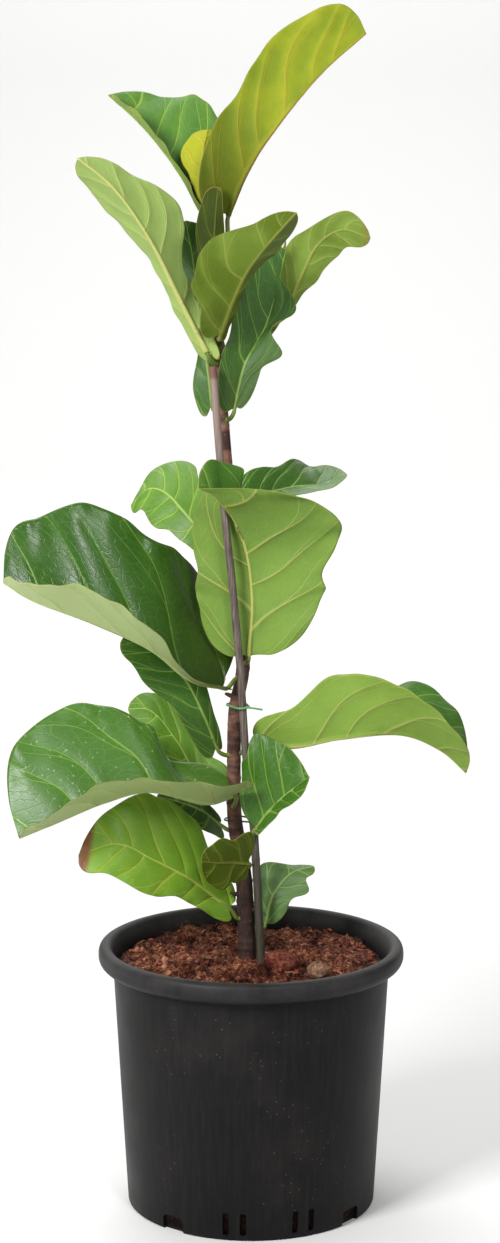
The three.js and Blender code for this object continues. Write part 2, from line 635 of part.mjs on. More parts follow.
// Ties.
// A closed loop of wire round the trunk and the stake at one height, lying nearly level.
function tie(z, wire, tilt, tails) {
  const [tx, ty, , tr] = trunkAt(z);
  const [sx, sy, , sr] = barAt(STAKE, z);
  const axis = Math.atan2(sy - ty, sx - tx);
  const clear = wire + GAP + 0.7;
  const loop = [];
  const steps = 9;
  [[tx, ty, tr, axis + Math.PI / 2], [sx, sy, sr, axis - Math.PI / 2]].forEach(([cx, cy, r, from]) => {
    for (let i = 0; i <= steps; i += 1) {
      const angle = from + (i / steps) * Math.PI;
      const x = cx + Math.cos(angle) * (r + clear);
      loop.push(V(x, cy + Math.sin(angle) * (r + clear), z + (x - tx) * tilt));
    }
  });
  const sides = 7;
  const count = loop.length;
  const points = [];
  const faces = [];
  loop.forEach((p, i) => {
    const ahead = loop[(i + 1) % count].clone().sub(loop[(i + count - 1) % count]).normalize();
    const across = V(0, 0, 0).crossVectors(ahead, V(0, 0, 1)).normalize();
    const other = V(0, 0, 0).crossVectors(ahead, across);
    for (let k = 0; k < sides; k += 1) {
      const angle = (k / sides) * 2 * Math.PI;
      const at = p.clone().addScaledVector(across, Math.cos(angle) * wire)
        .addScaledVector(other, Math.sin(angle) * wire);
      points.push([at.x, at.y, at.z]);
      const [a, b] = [i * sides + k, i * sides + ((k + 1) % sides)];
      const [c, d] = [b, a].map((id) => (id + sides) % (count * sides));
      faces.push([a, b, c], [a, c, d]);
    }
  });
  const solid = toSolid(indexed(points, faces));
  if (!tails) return solid;
  const from = loop[tails.from];
  const line = [[from.x, from.y, from.z], ...tails.to];
  return solid.add(bar(line.map((p) => [...p, wire * 0.85]), 7));
}

// Assembly.
const COLOURS = { pot: 0x262423, soil: 0x6b3a26, wood: 0x4a332a, stake: 0x857870, green: 0x3f7a3a,
  wire: 0x1c1c1a, leaf: 0x3c7a33, fresh: 0x8fb53c };
const FRESH = ['leaf_top_right', 'leaf_top_young', 'leaf_mid_back_left', 'leaf_right_arch'];
const group = new THREE.Group();
group.name = 'potted_fiddle_leaf_fig';

function add(name, solid, colour) {
  const mesh = new THREE.Mesh(fromSolid(solid), new THREE.MeshStandardMaterial({ color: colour }));
  mesh.name = name;
  group.add(mesh);
}

add('pot', pot(), COLOURS.pot);
add('soil', soil(), COLOURS.soil);
add('trunk', trunk(), COLOURS.wood);
add('stake', stake(), COLOURS.stake);
const TAIL = { from: 16, to: [[3, -16.5, 447.5], [10, -15, 446]] };
add('tie_upper', tie(447, 1.0, 0.1, TAIL), COLOURS.green);
add('tie_lower', tie(345, 0.8, 0.12), COLOURS.wire);
Object.entries(LEAVES).forEach(([name, leaf]) => {
  add(name, leafSolid(leaf), FRESH.includes(name) ? COLOURS.fresh : COLOURS.leaf);
});

export default group;
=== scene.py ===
"""Potted fiddle leaf fig: a young plant in a black nursery pot, tied to a cane."""
import math

import bpy
import numpy as np
from bpy.props import FloatProperty, FloatVectorProperty, IntProperty, PointerProperty
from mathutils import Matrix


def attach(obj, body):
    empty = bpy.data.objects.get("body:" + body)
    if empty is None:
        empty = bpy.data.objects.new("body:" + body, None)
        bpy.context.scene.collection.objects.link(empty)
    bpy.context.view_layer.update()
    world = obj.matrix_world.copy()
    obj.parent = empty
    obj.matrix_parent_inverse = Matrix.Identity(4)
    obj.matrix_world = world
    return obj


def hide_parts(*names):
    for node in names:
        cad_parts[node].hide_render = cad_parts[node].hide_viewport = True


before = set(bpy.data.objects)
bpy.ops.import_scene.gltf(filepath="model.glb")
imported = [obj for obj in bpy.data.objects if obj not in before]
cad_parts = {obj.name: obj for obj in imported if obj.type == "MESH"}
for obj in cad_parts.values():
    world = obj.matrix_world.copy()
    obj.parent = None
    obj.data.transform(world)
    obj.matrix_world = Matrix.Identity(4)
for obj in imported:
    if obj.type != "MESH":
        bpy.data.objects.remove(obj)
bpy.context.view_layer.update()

bl_info = {
    "name": "Potted Fiddle Leaf Fig",
    "version": (1, 0, 0),
    "blender": (4, 5, 0),
    "location": "View3D > Sidebar > Plant",
    "description": "Builds the leaves, trunk, cane, coir and pot of a potted fiddle leaf fig",
    "category": "Add Mesh",
}

MM = 0.001

# Shapes below are in millimetres in the plant's own frame: origin on the floor under the middle
# of the pot, Z up, the plant's front towards -Y.

# Half outline of a blade: (place along the midrib, half width), both 0 to 1. Margin vectors are
# given at even places from STEP_FIRST to STEP_LAST.
OUTLINE = np.array([
    (0, 0.05), (-0.045, 0.24), (-0.02, 0.46), (0.09, 0.6), (0.24, 0.61), (0.38, 0.56),
    (0.52, 0.74), (0.68, 0.97), (0.8, 1), (0.91, 0.8), (0.975, 0.42), (1, 0),
])
STEP_FIRST, STEP_LAST = 0.1, 0.85

# Each leaf: the midrib from base to tip, and where its right and left margins lie from the
# midrib at even steps. foot is the height on the trunk where the stalk grows, via a place that
# it bends past, and notch a slit: its side, place, span and share of the width. veins is how many
# side veins fit on the midrib. upper and under give the skin tone from 0, the darkest green, to
# 1, lime; the paler tones of leaf_mid_back_left, leaf_mid_front and leaf_right_arch are partly
# painted light that shines through them. dry, spots, dusty, deep, shine and pale_lit_underside
# are 0 unless given: brown at the tip, water marks, dust, a base darker olive and partly in
# painted shade, gloss above, and a paler underside that is partly its own colour and partly
# painted light.
LEAVES = {
    "leaf_top_right": dict(
        rib=[(-19, 2, 870), (-6, -4, 901), (14, -8, 934), (56, -4, 985), (97, 6, 1022)],
        right=[(-50, -18, 44), (-50, 6, 62), (-34, 22, 50), (-10, 24, 46)],
        left=[(0, 40, 10), (4, 56, 8), (0, 44, 12)],
        foot=851, upper=0.75, under=0.9, deep=0.9, veins=6),
    "leaf_top_left": dict(
        rib=[(-41, 6, 871), (-57, 14, 900), (-74, 24, 924), (-97, 38, 950), (-123, 50, 973)],
        right=[(56, 20, 66), (70, 24, 70), (45, 20, 40), (28, 16, 13)],
        left=[(0, -18, 6), (2, -34, 5), (2, -24, 4)],
        foot=848, upper=0.34, under=0.45, deep=0.9, shine=-1.0, veins=5),
    "leaf_top_young": dict(
        rib=[(-36, 2.5, 880), (-40, 3.5, 900), (-41, 5.5, 921), (-37, 9.5, 942)],
        right=[(-16, 2, 4), (-24, 4, 3), (-15, 6, 2)],
        left=[(16, 0, 5), (22, 0, 6), (13, 4, 4)],
        foot=855, upper=0.97, under=1.0, veins=4),
    "leaf_upper_left": dict(
        rib=[(-38, -6, 755), (-59, -12, 796), (-84, -22, 847), (-114, -28, 891), (-145, -30, 917)],
        right=[(-14, 24, -4), (-12, 36, -8), (-15, 32, -10)],
        left=[(20, 6, 4), (22, 30, 8), (38, 36, 16), (12, 30, 12)],
        foot=744, upper=0.2, under=0.47, pale_lit_underside=0.25, veins=6),
    "leaf_upper_front": dict(
        rib=[(-26, -14, 769), (-15, -34, 799), (-3, -52, 824), (12, -70, 844), (37, -90, 872)],
        right=[(-34, -6, 12), (-68, 12, 16), (-46, 20, 16), (-18, 18, 8)],
        left=[(10, 22, 0), (8, 34, -4), (8, 24, -6)],
        foot=766, upper=0.25, under=0.25, deep=0.3, veins=4.5),
    "leaf_upper_right": dict(
        rib=[(33, 30, 796), (45, 26, 822), (58, 22, 846), (78, 14, 858), (102, 8, 851)],
        right=[(-28, -2, 25), (-37, 0, 19), (-17, 0, 9), (-1, 0, 17)],
        left=[(10, 12, -8), (20, 6, -20), (11, 8, -20), (0, 4, -14)],
        foot=745, upper=0.3, under=0.34, dry=0.35, veins=5),
    "leaf_upper_low_right": dict(
        rib=[(-14, 0, 706), (-6, 3, 742), (11, 8, 773), (22, 12, 806), (30, 14, 842)],
        right=[(32, -8, 30), (54, -12, 20), (24, -4, 26), (32, 0, 14), (0, 2, 26), (2, 3, 24)],
        left=[(-28, -6, 14), (-38, -8, 20), (-20, 0, 14)],
        foot=696, upper=0.1, under=0.3, shine=-0.5, deep=0.5, veins=6),
    "leaf_upper_back": dict(
        rib=[(-34, 34, 706), (-38, 38, 741), (-45, 48, 789), (-51, 56, 834), (-57, 60, 866)],
        right=[(30, 12, 4), (30, 12, 4), (26, 10, 2)],
        left=[(-24, 8, -6), (-8, 8, -2), (-12, 8, 0), (-20, 8, -2)],
        foot=712, upper=0.16, under=0.3, veins=5),
    "leaf_upper_inner": dict(
        rib=[(-26, -4, 777), (-29, -8, 807), (-31, -10, 849), (-28, -12, 894)],
        right=[(-12, 10, 2), (-20, 2, 6), (-13, 0, 6)],
        left=[(10, -9, 4), (12, 2, 4), (6, 0, 4)],
        foot=773, upper=0.2, under=0.02, deep=0.8, veins=3),
    # Its paler tone is partly painted light that shines through the blade.
    "leaf_mid_back_left": dict(
        rib=[(-46, 30, 598), (-60, 44, 613), (-75, 58, 627), (-91, 68, 630), (-107, 74, 615)],
        right=[(30, 20, 36), (34, 28, 33), (8, 20, 18)],
        left=[(-2, -14, -36), (-14, -18, -40), (-2, -14, -14)],
        foot=590, upper=0.4, under=0.7, veins=5),
    "leaf_mid_back_right": dict(
        rib=[(-7, 36, 621), (10, 50, 627), (39, 70, 632), (64, 84, 633), (85, 92, 642)],
        right=[(6, -10, -8), (4, -24, -8), (8, -22, 0)],
        left=[(-8, 25, 36), (-4, 30, 32), (-10, 24, 12)],
        foot=613, upper=0.2, under=0.5, shine=0.4, veins=5),
    # Its paler tone is partly painted light that shines through the blade.
    "leaf_mid_front": dict(
        rib=[(-2, -4, 491), (1, -3, 535), (-3, -4, 578), (-14, -16, 610), (-30, -31, 632),
             (-45, -38, 641)],
        right=[(-72, 6, 34), (-80, 8, 26), (-84, 9, 20), (-72, 14, 18), (-42, 14, 42),
               (10, 6, 40), (-4, 8, 38)],
        left=[(96, -14, 44), (110, -14, 16), (98, -10, 8), (78, -4, 4)],
        foot=484, notch=("right", 0.68, 0.045, 0.97), upper=0.3, under=0.73, veins=4.5),
    "leaf_mid_left": dict(
        rib=[(-24, -4, 463), (-54, -20, 474), (-87, -32, 502), (-136, -40, 526),
             (-185, -42, 545), (-211, -42, 561)],
        right=[(8, 84, 138), (8, 70, 160), (0, 40, 114), (-8, 26, 72)],
        left=[(0, -14, 4), (0, -100, 52), (0, -90, 48), (0, -66, 26)],
        foot=470, upper=0.12, under=0.42, shine=1.2, pale_lit_underside=1.0, deep=0.85, veins=5),
    "leaf_low_left": dict(
        rib=[(-30, -2, 410), (-41, -4, 438), (-57, -6, 470), (-80, -12, 493), (-110, -16, 511)],
        right=[(8, 10, 14), (18, 16, 22), (8, 12, 16)],
        left=[(-26, -12, -10), (-34, -14, -16), (-14, -8, -12)],
        foot=402, upper=0.14, under=0.4, deep=0.4, veins=6),
    "leaf_low_big_left": dict(
        rib=[(-17, -20, 370), (-41, -28, 366), (-87, -40, 379), (-126, -48, 371),
             (-166, -54, 355), (-199.4, -54, 341)],
        right=[(-50, 44, 50), (-20, 58, 98), (-16, 50, 92), (-34, 36, 68)],
        left=[(30, -46, 36), (6, -70, 34), (4, -64, 34), (4, -46, 20)],
        foot=357, upper=0.25, under=0.4, spots=1.0, shine=0.6, pale_lit_underside=0.7, deep=0.4, veins=5.5),
    "leaf_low_back_left": dict(
        rib=[(-26, 24, 370), (-47, 36, 377), (-67, 50, 406), (-89, 62, 430), (-111, 70, 431)],
        right=[(10, 20, 30), (10, 22, 34), (0, 14, 14)],
        left=[(-10, -12, -18), (-10, -15, -20), (0, -10, -14)],
        foot=364, upper=0.42, under=0.6, veins=4.5),
    "leaf_bottom_left": dict(
        rib=[(-19, -6, 266), (-53, -20, 296), (-85, -34, 317), (-115, -42, 333), (-149, -46, 324)],
        right=[(0, 26, 44), (10, 36, 88), (8, 28, 56), (6, 16, 32)],
        left=[(-14, -14, -18), (-4, -20, -36), (-6, -14, -22)],
        foot=256, upper=0.58, under=0.5, dry=1.0, spots=0.4, veins=6),
    "leaf_low_under": dict(
        rib=[(-28, 10, 339), (-43, 17, 349), (-63, 25, 355), (-84, 31, 359)],
        right=[(-2, 12, 14), (4, 12, 14), (2, 8, 8)],
        left=[(6, -3, -26), (-2, -3, -32), (2, -6, -20)],
        foot=334, upper=0.05, under=0.4, deep=0.6, veins=4),
    "leaf_low_front": dict(
        rib=[(-3, -19, 310), (-16, -31, 314), (-29, -44, 317), (-43, -56, 321)],
        right=[(-6, 4, -30), (2, 10, -34), (0, 10, -22)],
        left=[(12, -10, 48), (2, -12, 34), (0, -4, 15)],
        foot=301, upper=0.3, under=0.22, veins=3),
    "leaf_low_right": dict(
        rib=[(4, -23, 342), (15, -26, 358), (31, -36, 376), (50, -46, 393)],
        right=[(8, -12, -6), (10, -20, -4), (2, -12, -6)],
        left=[(-28, 9, 52), (-42, 15, 76), (-32, 19, 58), (-16, 17, 34)],
        foot=322, via=(-5, -15, 329), upper=0.2, under=0.4, shine=0.4, veins=4),
    # Its paler tone is partly painted light that shines through the blade.
    "leaf_right_arch": dict(
        rib=[(10, 0, 409), (44, -6, 412), (78, -12, 420), (129, -18, 425), (164, -22, 412),
             (187, -24, 392)],
        right=[(0, -14, 56), (2, -34, 108), (6, -44, 56), (10, -40, 26)],
        left=[(0, 28, 4), (4, 60, 12), (10, 56, 40), (14, 46, 32)],
        foot=404, upper=0.22, under=0.62, veins=5),
    "leaf_bottom_right": dict(
        rib=[(13, 2, 250), (19, 6, 274), (35, 12, 293), (56, 16, 299)],
        right=[(30, -8, 16), (34, -10, -8), (6, -6, -6)],
        left=[(-14, 9, 14), (-26, 12, 20), (-6, 8, 2)],
        foot=245, upper=0.2, under=0.3, dusty=0.5, veins=4),
}

# The trunk and the cane up their middles: x, y, z and radius.
TRUNK = np.array([
    (-3, 0, 104, 7.6), (-3, 0, 160, 7.8), (-3, 0, 222, 8.0), (-4, 2, 249, 7.6),
    (-6, 2, 290, 7.2), (-10, 4, 317, 6.8), (-15, 5, 344, 6.5), (-15, 6, 377, 6.0),
    (-15, 7, 413, 6.0), (-14, 8, 445, 6.0), (-8, 10, 468, 6.0), (-6, 12, 490, 5.8),
    (-9, 14, 539, 5.4), (-15, 15, 600, 5.0), (-20, 12, 650, 4.6), (-23, 9, 690, 4.3),
    (-26, 8, 730, 4.1), (-28, 8, 765, 3.9), (-27, 6, 800, 3.5), (-26, 4, 835, 3.0),
    (-25, 3, 858, 2.6),
])
STAKE = np.array([
    (19, -12, 12, 3.9), (9, -12, 223, 3.9), (3, -12, 334, 3.7), (-5, -12, 410, 3.6),
    (-9, -12, 478, 3.5), (-17, -14, 565, 3.5), (-22, -14, 608, 3.5), (-28, -12, 680, 3.5),
    (-32, -11, 734, 3.5), (-33, -11, 743, 3.5),
])
# How far apart the cane's joints are.
JOINTS_APART = 168
# Old leaf scars up the trunk: height, the way each faces in degrees, and how proud it is.
SCARS = [(228, 150, 0.6), (236, 20, 0.7), (252, 250, 0.5), (270, 80, 0.6), (288, 300, 0.5),
         (312, 200, 0.7), (330, 40, 0.5), (358, 120, 0.7), (380, 260, 0.5), (396, 10, 0.6),
         (430, 220, 0.7), (452, 90, 0.5), (478, 330, 0.6), (505, 160, 0.5), (532, 280, 0.4),
         (560, 60, 0.5), (590, 200, 0.4), (628, 320, 0.4), (662, 100, 0.4), (690, 240, 0.4)]
# Cut stubs of side shoots: height, direction in degrees, length.
STUBS = [(276, 200, 6), (452, 150, 6), (262, 330, 5)]

# Grids of a blade: rows along it and columns from its midrib to a margin, where the midrib is
# over FINE_FROM long and where it is shorter. A slit gets more rows. The last row stops short of
# the tip's point.
FINE_GRID, PLAIN_GRID = (120, 32), (84, 22)
FINE_FROM, NOTCH_ROWS, LAST_ROW = 90, 40, 0.998
# Powers that crowd the columns towards the midrib, set a row's start back along the midrib, and
# bend the row from there to its end on the outline.
CROWD, SET_BACK, BOW = 1.15, 1.25, 1.4
# Side veins: their sweep towards the tip as a share of the midrib, how much later they come on
# the left as a share of their spacing, how far they wander, and the share of the midrib that
# they fill.
SWEEP, LEFT_LATER, WANDER, VEINED = 0.2, 0.45, 0.16, 0.78
# Relief of a blade 60 mm wide to a side, as height and half width: a side vein's ridge below and
# valley above, and the midrib's valley above. Then the midrib's half width below, at the base.
RIDGE, VALLEY, RIB_VALLEY, RIB_HALF = (0.45, 1.3), (0.35, 1.6), (0.4, 2.2), 2.3
USUAL_HALF = 60
# Lengths of the two waves along a margin, and a stalk's radius at its foot.
LONG_WAVE, SHORT_WAVE, STALK_RADIUS = 37, 21, 2.0

# The coir: its level at the middle and its radius; its side and underside as radius and height;
# crumbly lumps as rise, waves per mm, seed and octaves; round clods as x, y and radius; wide
# mounds as x, y, radius and height.
COIR_TOP, COIR_RADIUS = 217.4, 119.2
COIR_SIDE = ((118.9, 211), (118.6, 204), (107.0, 3.6), (1.0, 3.6))
LUMPS = ((5.5, 0.12, 12, 3), (2.6, 0.33, 14, 2))
CLODS = [(27, -50, 17), (-2, -54, 9), (60, -60, 8), (-46, -56, 9), (-74, -20, 10), (84, -12, 9),
         (-26, -84, 8), (46, 66, 11), (-58, 48, 10), (-10, 80, 9), (-92, 14, 7)]
MOUNDS = [(-46, 66, 46, 6), (82, 40, 40, 4), (-60, -10, 30, 2)]

# The pot: the wall's radius at the foot and under the lip, where the lip starts, the rim's
# radius, the full height, the thickness of wall and floor, and the underside's and the lip's
# outline as radius and height.
FOOT_RADIUS, NECK_RADIUS, LIP_LOW = 110, 122, 214
RIM_RADIUS, POT_HIGH, WALL, FLOOR_THICK = 134.96, 234, 2.5, 3
LIP = [(122, 214), (125.2, 214.3), (129.4, 215.6), (132.8, 218.2), (134.6, 221.6), (134.95, 225),
       (134.7, 228.8), (133.2, 232.2), (129.8, 233.95), (126.2, 233.7), (123.6, 231.6)]
BASE = [(0.8, 0), (60, 0), (107, 0), (108.6, 0.2), (109.6, 0.9)]
# Where the notches and the pairs of drain slots are, in degrees round from the front, how far
# either slot is from its pair's middle, and the block that cuts each.
NOTCHES, NOTCH_BLOCK = (-38, 52, 142, 232), dict(wide=22.0, low=-14.0, high=14.0, level=6.0, deep=10.0)
SLOTS, SLOT_BLOCK = (-7.5, 24, 172.5, 204), dict(wide=5.6, low=5.0, high=25.0, level=15.0, deep=16.0)
SLOT_OFFSET = 7.5

# The stage's floor runs level to LEVEL_TO behind the plant and curves up by BEND into a wall, so
# that the plant can be seen from behind too.
FLOOR_REACH, LEVEL_TO, BEND, BACK_HIGH = 8000, 7000, 1500, 5000
# Soft lights: name, place and aim in m, side in m, and share of the key light's power.
LIGHTS = (("key", (-1.4, -1.6, 1.7), (0, 0, 0.5), 0.8, 0.92),
          ("front", (0.6, -1.7, 1.75), (-0.15, 0, 0.6), 0.45, 0.22),
          ("top", (-0.3, 0.6, 2.3), (-0.05, 0, 0.6), 0.9, 0.26),
          ("backdrop", (0, 4.8, 3.4), (0, 5.8, 0), 6.0, 3.6))
# The camera: its place in m, how far down it looks in degrees, and its focal length and the
# photograph's height, both in the photograph's pixels.
CAMERA_AT, CAMERA_DOWN = (-0.0009, -2.236, 0.858), 8.566
FOCAL, PHOTO_HIGH, SENSOR = 2601, 1243, 36.0


# Curves and grids.

def smooth(points, t, level=False):
    """Catmull-Rom curve through evenly spaced points at t from 0 to 1. With level the ends
    hold still; without it the curve goes on straight below 0."""
    p = np.asarray(points, float)
    n = len(p) - 1
    t = np.asarray(t, float)
    x = np.clip(t, 0, 1) * n
    i = np.minimum(x.astype(int), n - 1)
    f = (x - i)[..., None]
    first = p[1] if level else 2 * p[0] - p[1]
    last = p[-2] if level else 2 * p[-1] - p[-2]
    q = np.vstack([first, p, last])
    a, b, c, d = q[i], q[i + 1], q[i + 2], q[i + 3]
    out = 0.5 * (2 * b + (c - a) * f + (2 * a - 5 * b + 4 * c - d) * f ** 2
                 + (3 * b - a - 3 * c + d) * f ** 3)
    if not level:
        out = out + np.minimum(t, 0)[..., None] * n * (p[1] - p[0])
    return out


def unit(v):
    """Vectors scaled to length one."""
    return v / np.maximum(np.linalg.norm(v, axis=-1, keepdims=True), 1e-9)


def midrib(rib, place):
    """Point on the midrib at a share of its true length; below 0 it goes on straight."""
    fine = 160
    at = smooth(rib, np.linspace(0, 1, fine + 1))
    run = np.r_[0, np.cumsum(np.linalg.norm(np.diff(at, axis=0), axis=1))]
    length = run[-1]
    run = run / length
    t = np.interp(place, run, np.linspace(0, 1, fine + 1))
    t = np.where(np.asarray(place) < 0, np.asarray(place) / (run[1] * fine), t)
    return smooth(rib, t), length


def cells(*corners):
    """Faces from one array for each of their corners."""
    return np.stack(corners, -1).reshape(-1, len(corners))


def skin(rings):
    """Closed skin over rings of equal count, shape (rings, around, 3), with a vertex in the
    middle of each end. Quads turn outwards when each ring runs anticlockwise seen from ahead."""
    count, around = rings.shape[:2]
    verts = np.vstack([rings.reshape(-1, 3), rings[0].mean(0), rings[-1].mean(0)])
    i, k = np.meshgrid(np.arange(count - 1), np.arange(around), indexing="ij")
    n = (k + 1) % around
    quads = cells(i * around + k, i * around + n, (i + 1) * around + n, (i + 1) * around + k)
    k = np.arange(around)
    n = (k + 1) % around
    first, last, top = count * around, count * around + 1, (count - 1) * around
    tris = np.vstack([cells(np.full(around, first), n, k),
                      cells(np.full(around, last), top + k, top + n)])
    return verts, quads, tris


def sweep(path, radius, around, squash=None):
    """Tube round a path: each ring is a circle of the given radius, turned as little as
    possible from the last. squash multiplies the radius ring by ring and angle by angle."""
    ahead = unit(np.gradient(path, axis=0))
    across = np.zeros_like(path)
    side = np.cross(ahead[0], (0.0, 0.0, 1.0))
    side = side if np.linalg.norm(side) > 0.2 else np.cross(ahead[0], (1.0, 0.0, 0.0))
    for i in range(len(path)):
        side = unit(side - ahead[i] * (side @ ahead[i]))
        across[i] = side
    other = np.cross(ahead, across)
    turn = np.linspace(0, 2 * math.pi, around, endpoint=False)
    r = np.broadcast_to(np.asarray(radius, float).reshape(-1, 1), (len(path), around))
    if squash is not None:
        r = r * squash
    return (path[:, None] + across[:, None] * (np.cos(turn)[None, :, None] * r[..., None])
            + other[:, None] * (np.sin(turn)[None, :, None] * r[..., None]))


def join(parts):
    """Several (verts, quads, tris) as one."""
    verts, quads, tris, base = [], [], [], 0
    for v, q, t in parts:
        verts.append(v)
        quads.append(q + base)
        tris.append(t + base)
        base += len(v)
    return np.vstack(verts), np.vstack(quads), np.vstack(tris)


def make(name, verts, quads, tris, materials, index=None, values=None, smooth_faces=True):
    """A mesh object in metres from millimetre arrays, with its materials, the material of
    each face and any named values of its vertices."""
    mesh = bpy.data.meshes.new(name)
    loops = np.concatenate([quads.ravel(), tris.ravel()]).astype(np.int32)
    sizes = np.concatenate([np.full(len(quads), 4), np.full(len(tris), 3)]).astype(np.int32)
    starts = np.concatenate([[0], np.cumsum(sizes)[:-1]]).astype(np.int32)
    mesh.vertices.add(len(verts))
    mesh.vertices.foreach_set("co", (verts * MM).astype(np.float32).ravel())
    mesh.loops.add(len(loops))
    mesh.loops.foreach_set("vertex_index", loops)
    mesh.polygons.add(len(sizes))
    mesh.polygons.foreach_set("loop_start", starts)
    for material in materials:
        mesh.materials.append(material)
    if index is not None:
        mesh.polygons.foreach_set("material_index", index.astype(np.int32))
    mesh.polygons.foreach_set("use_smooth", np.full(len(sizes), smooth_faces))
    for key, value in (values or {}).items():
        layer = mesh.attributes.new(key, "FLOAT", "POINT")
        layer.data.foreach_set("value", np.broadcast_to(value, len(verts)).astype(np.float32))
    mesh.update(calc_edges=True)
    mesh.validate()
    piece = bpy.data.objects.new(name, mesh)
    bpy.context.scene.collection.objects.link(piece)
    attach(piece, "root")
    return piece


def waves(x, y, seed, octaves=4):
    """Smooth bumpy field from crossed sines, each octave twice as fine and half as high."""
    rng = np.random.default_rng(seed)
    out = np.zeros(np.broadcast(x, y).shape)
    for o in range(octaves):
        for _ in range(3):
            turn, phase = rng.uniform(0, math.pi), rng.uniform(0, 2 * math.pi)
            out = out + np.sin((x * math.cos(turn) + y * math.sin(turn)) * 2 ** o + phase) / 2 ** o
    return out / 3


# Materials.

# Skin tones from 0, the darkest green, to 1, lime, and the tones of the veins on them.
UPPER = {0: "#1f3f0e", 0.15: "#2c5412", 0.35: "#3d681a", 0.6: "#658c22", 0.8: "#82951c", 1: "#9aa21a"}
UNDER = {0: "#2b3808", 0.25: "#47590a", 0.48: "#7d9a42", 0.62: "#74923a", 0.76: "#5f7d33",
         0.88: "#66770f", 1: "#8f951c"}
UPPER_VEIN = {0: "#86a24c", 0.4: "#9bb254", 0.8: "#b4b74a", 1: "#bfc048"}
UNDER_VEIN = {0: "#5a5f1e", 0.3: "#84863a", 0.5: "#b9b26e", 0.75: "#b3ab60", 0.85: "#8f7a2e",
              1: "#b09a33"}
# What each vertex of a blade knows: how far along the run of side veins it is and their spacing
# in mm, its distances in mm from the midrib and to the margin, its place along the midrib, and
# how much of each tone or wear its leaf has.
BLADE_VALUES = ("phase", "step", "off_rib", "to_edge", "along", "tone", "dry", "spots", "dusty",
                "deep", "shine", "pale_lit_underside")
FADE = {"interpolation_type": "SMOOTHSTEP"}
TINT = {"data_type": "RGBA"}


def lin(colour):
    """sRGB hex to linear RGBA."""
    c = np.array([int(colour[i:i + 2], 16) for i in (1, 3, 5)]) / 255
    c = np.where(c <= 0.04045, c / 12.92, ((c + 0.055) / 1.055) ** 2.4)
    return (*c.tolist(), 1.0)


def every(mm):
    """Scale of a pattern on Object coordinates whose features lie so many mm apart."""
    return 1 / (mm * MM)


def fill(tree, node, inputs):
    """Fills a node's inputs, by name or place, with values, sockets, or other nodes, each of
    which stands for its first live output."""
    for key, value in inputs.items() if isinstance(inputs, dict) else enumerate(inputs):
        if isinstance(value, bpy.types.Node):
            value = next(out for out in value.outputs if out.enabled)
        if isinstance(value, bpy.types.NodeSocket):
            tree.links.new(value, node.inputs[key])
        else:
            node.inputs[key].default_value = value
    return node


def add(tree, kind, inputs=(), stops=None, **settings):
    """Adds a node with its settings, its inputs and, for a colour ramp, its stops as
    {position: sRGB hex or linear colour}."""
    made = tree.nodes.new("ShaderNode" + kind)
    for key, value in settings.items():
        setattr(made, key, value)
    if stops:
        elements = made.color_ramp.elements
        while len(elements) < len(stops):
            elements.new(0.5)
        for element, place in zip(elements, sorted(stops)):
            element.position = place
        for element, place in zip(elements, sorted(stops)):
            element.color = lin(stops[place]) if isinstance(stops[place], str) else stops[place]
    return fill(tree, made, inputs)


def start(name, **shader):
    """A new material with its surface shader, whose constant values are set on it."""
    material = bpy.data.materials.new(name)
    material.use_nodes = True
    tree = material.node_tree
    surface = tree.nodes["Principled BSDF"]
    fill(tree, surface, {key.replace("_", " "): value for key, value in shader.items()})
    return material, tree, surface


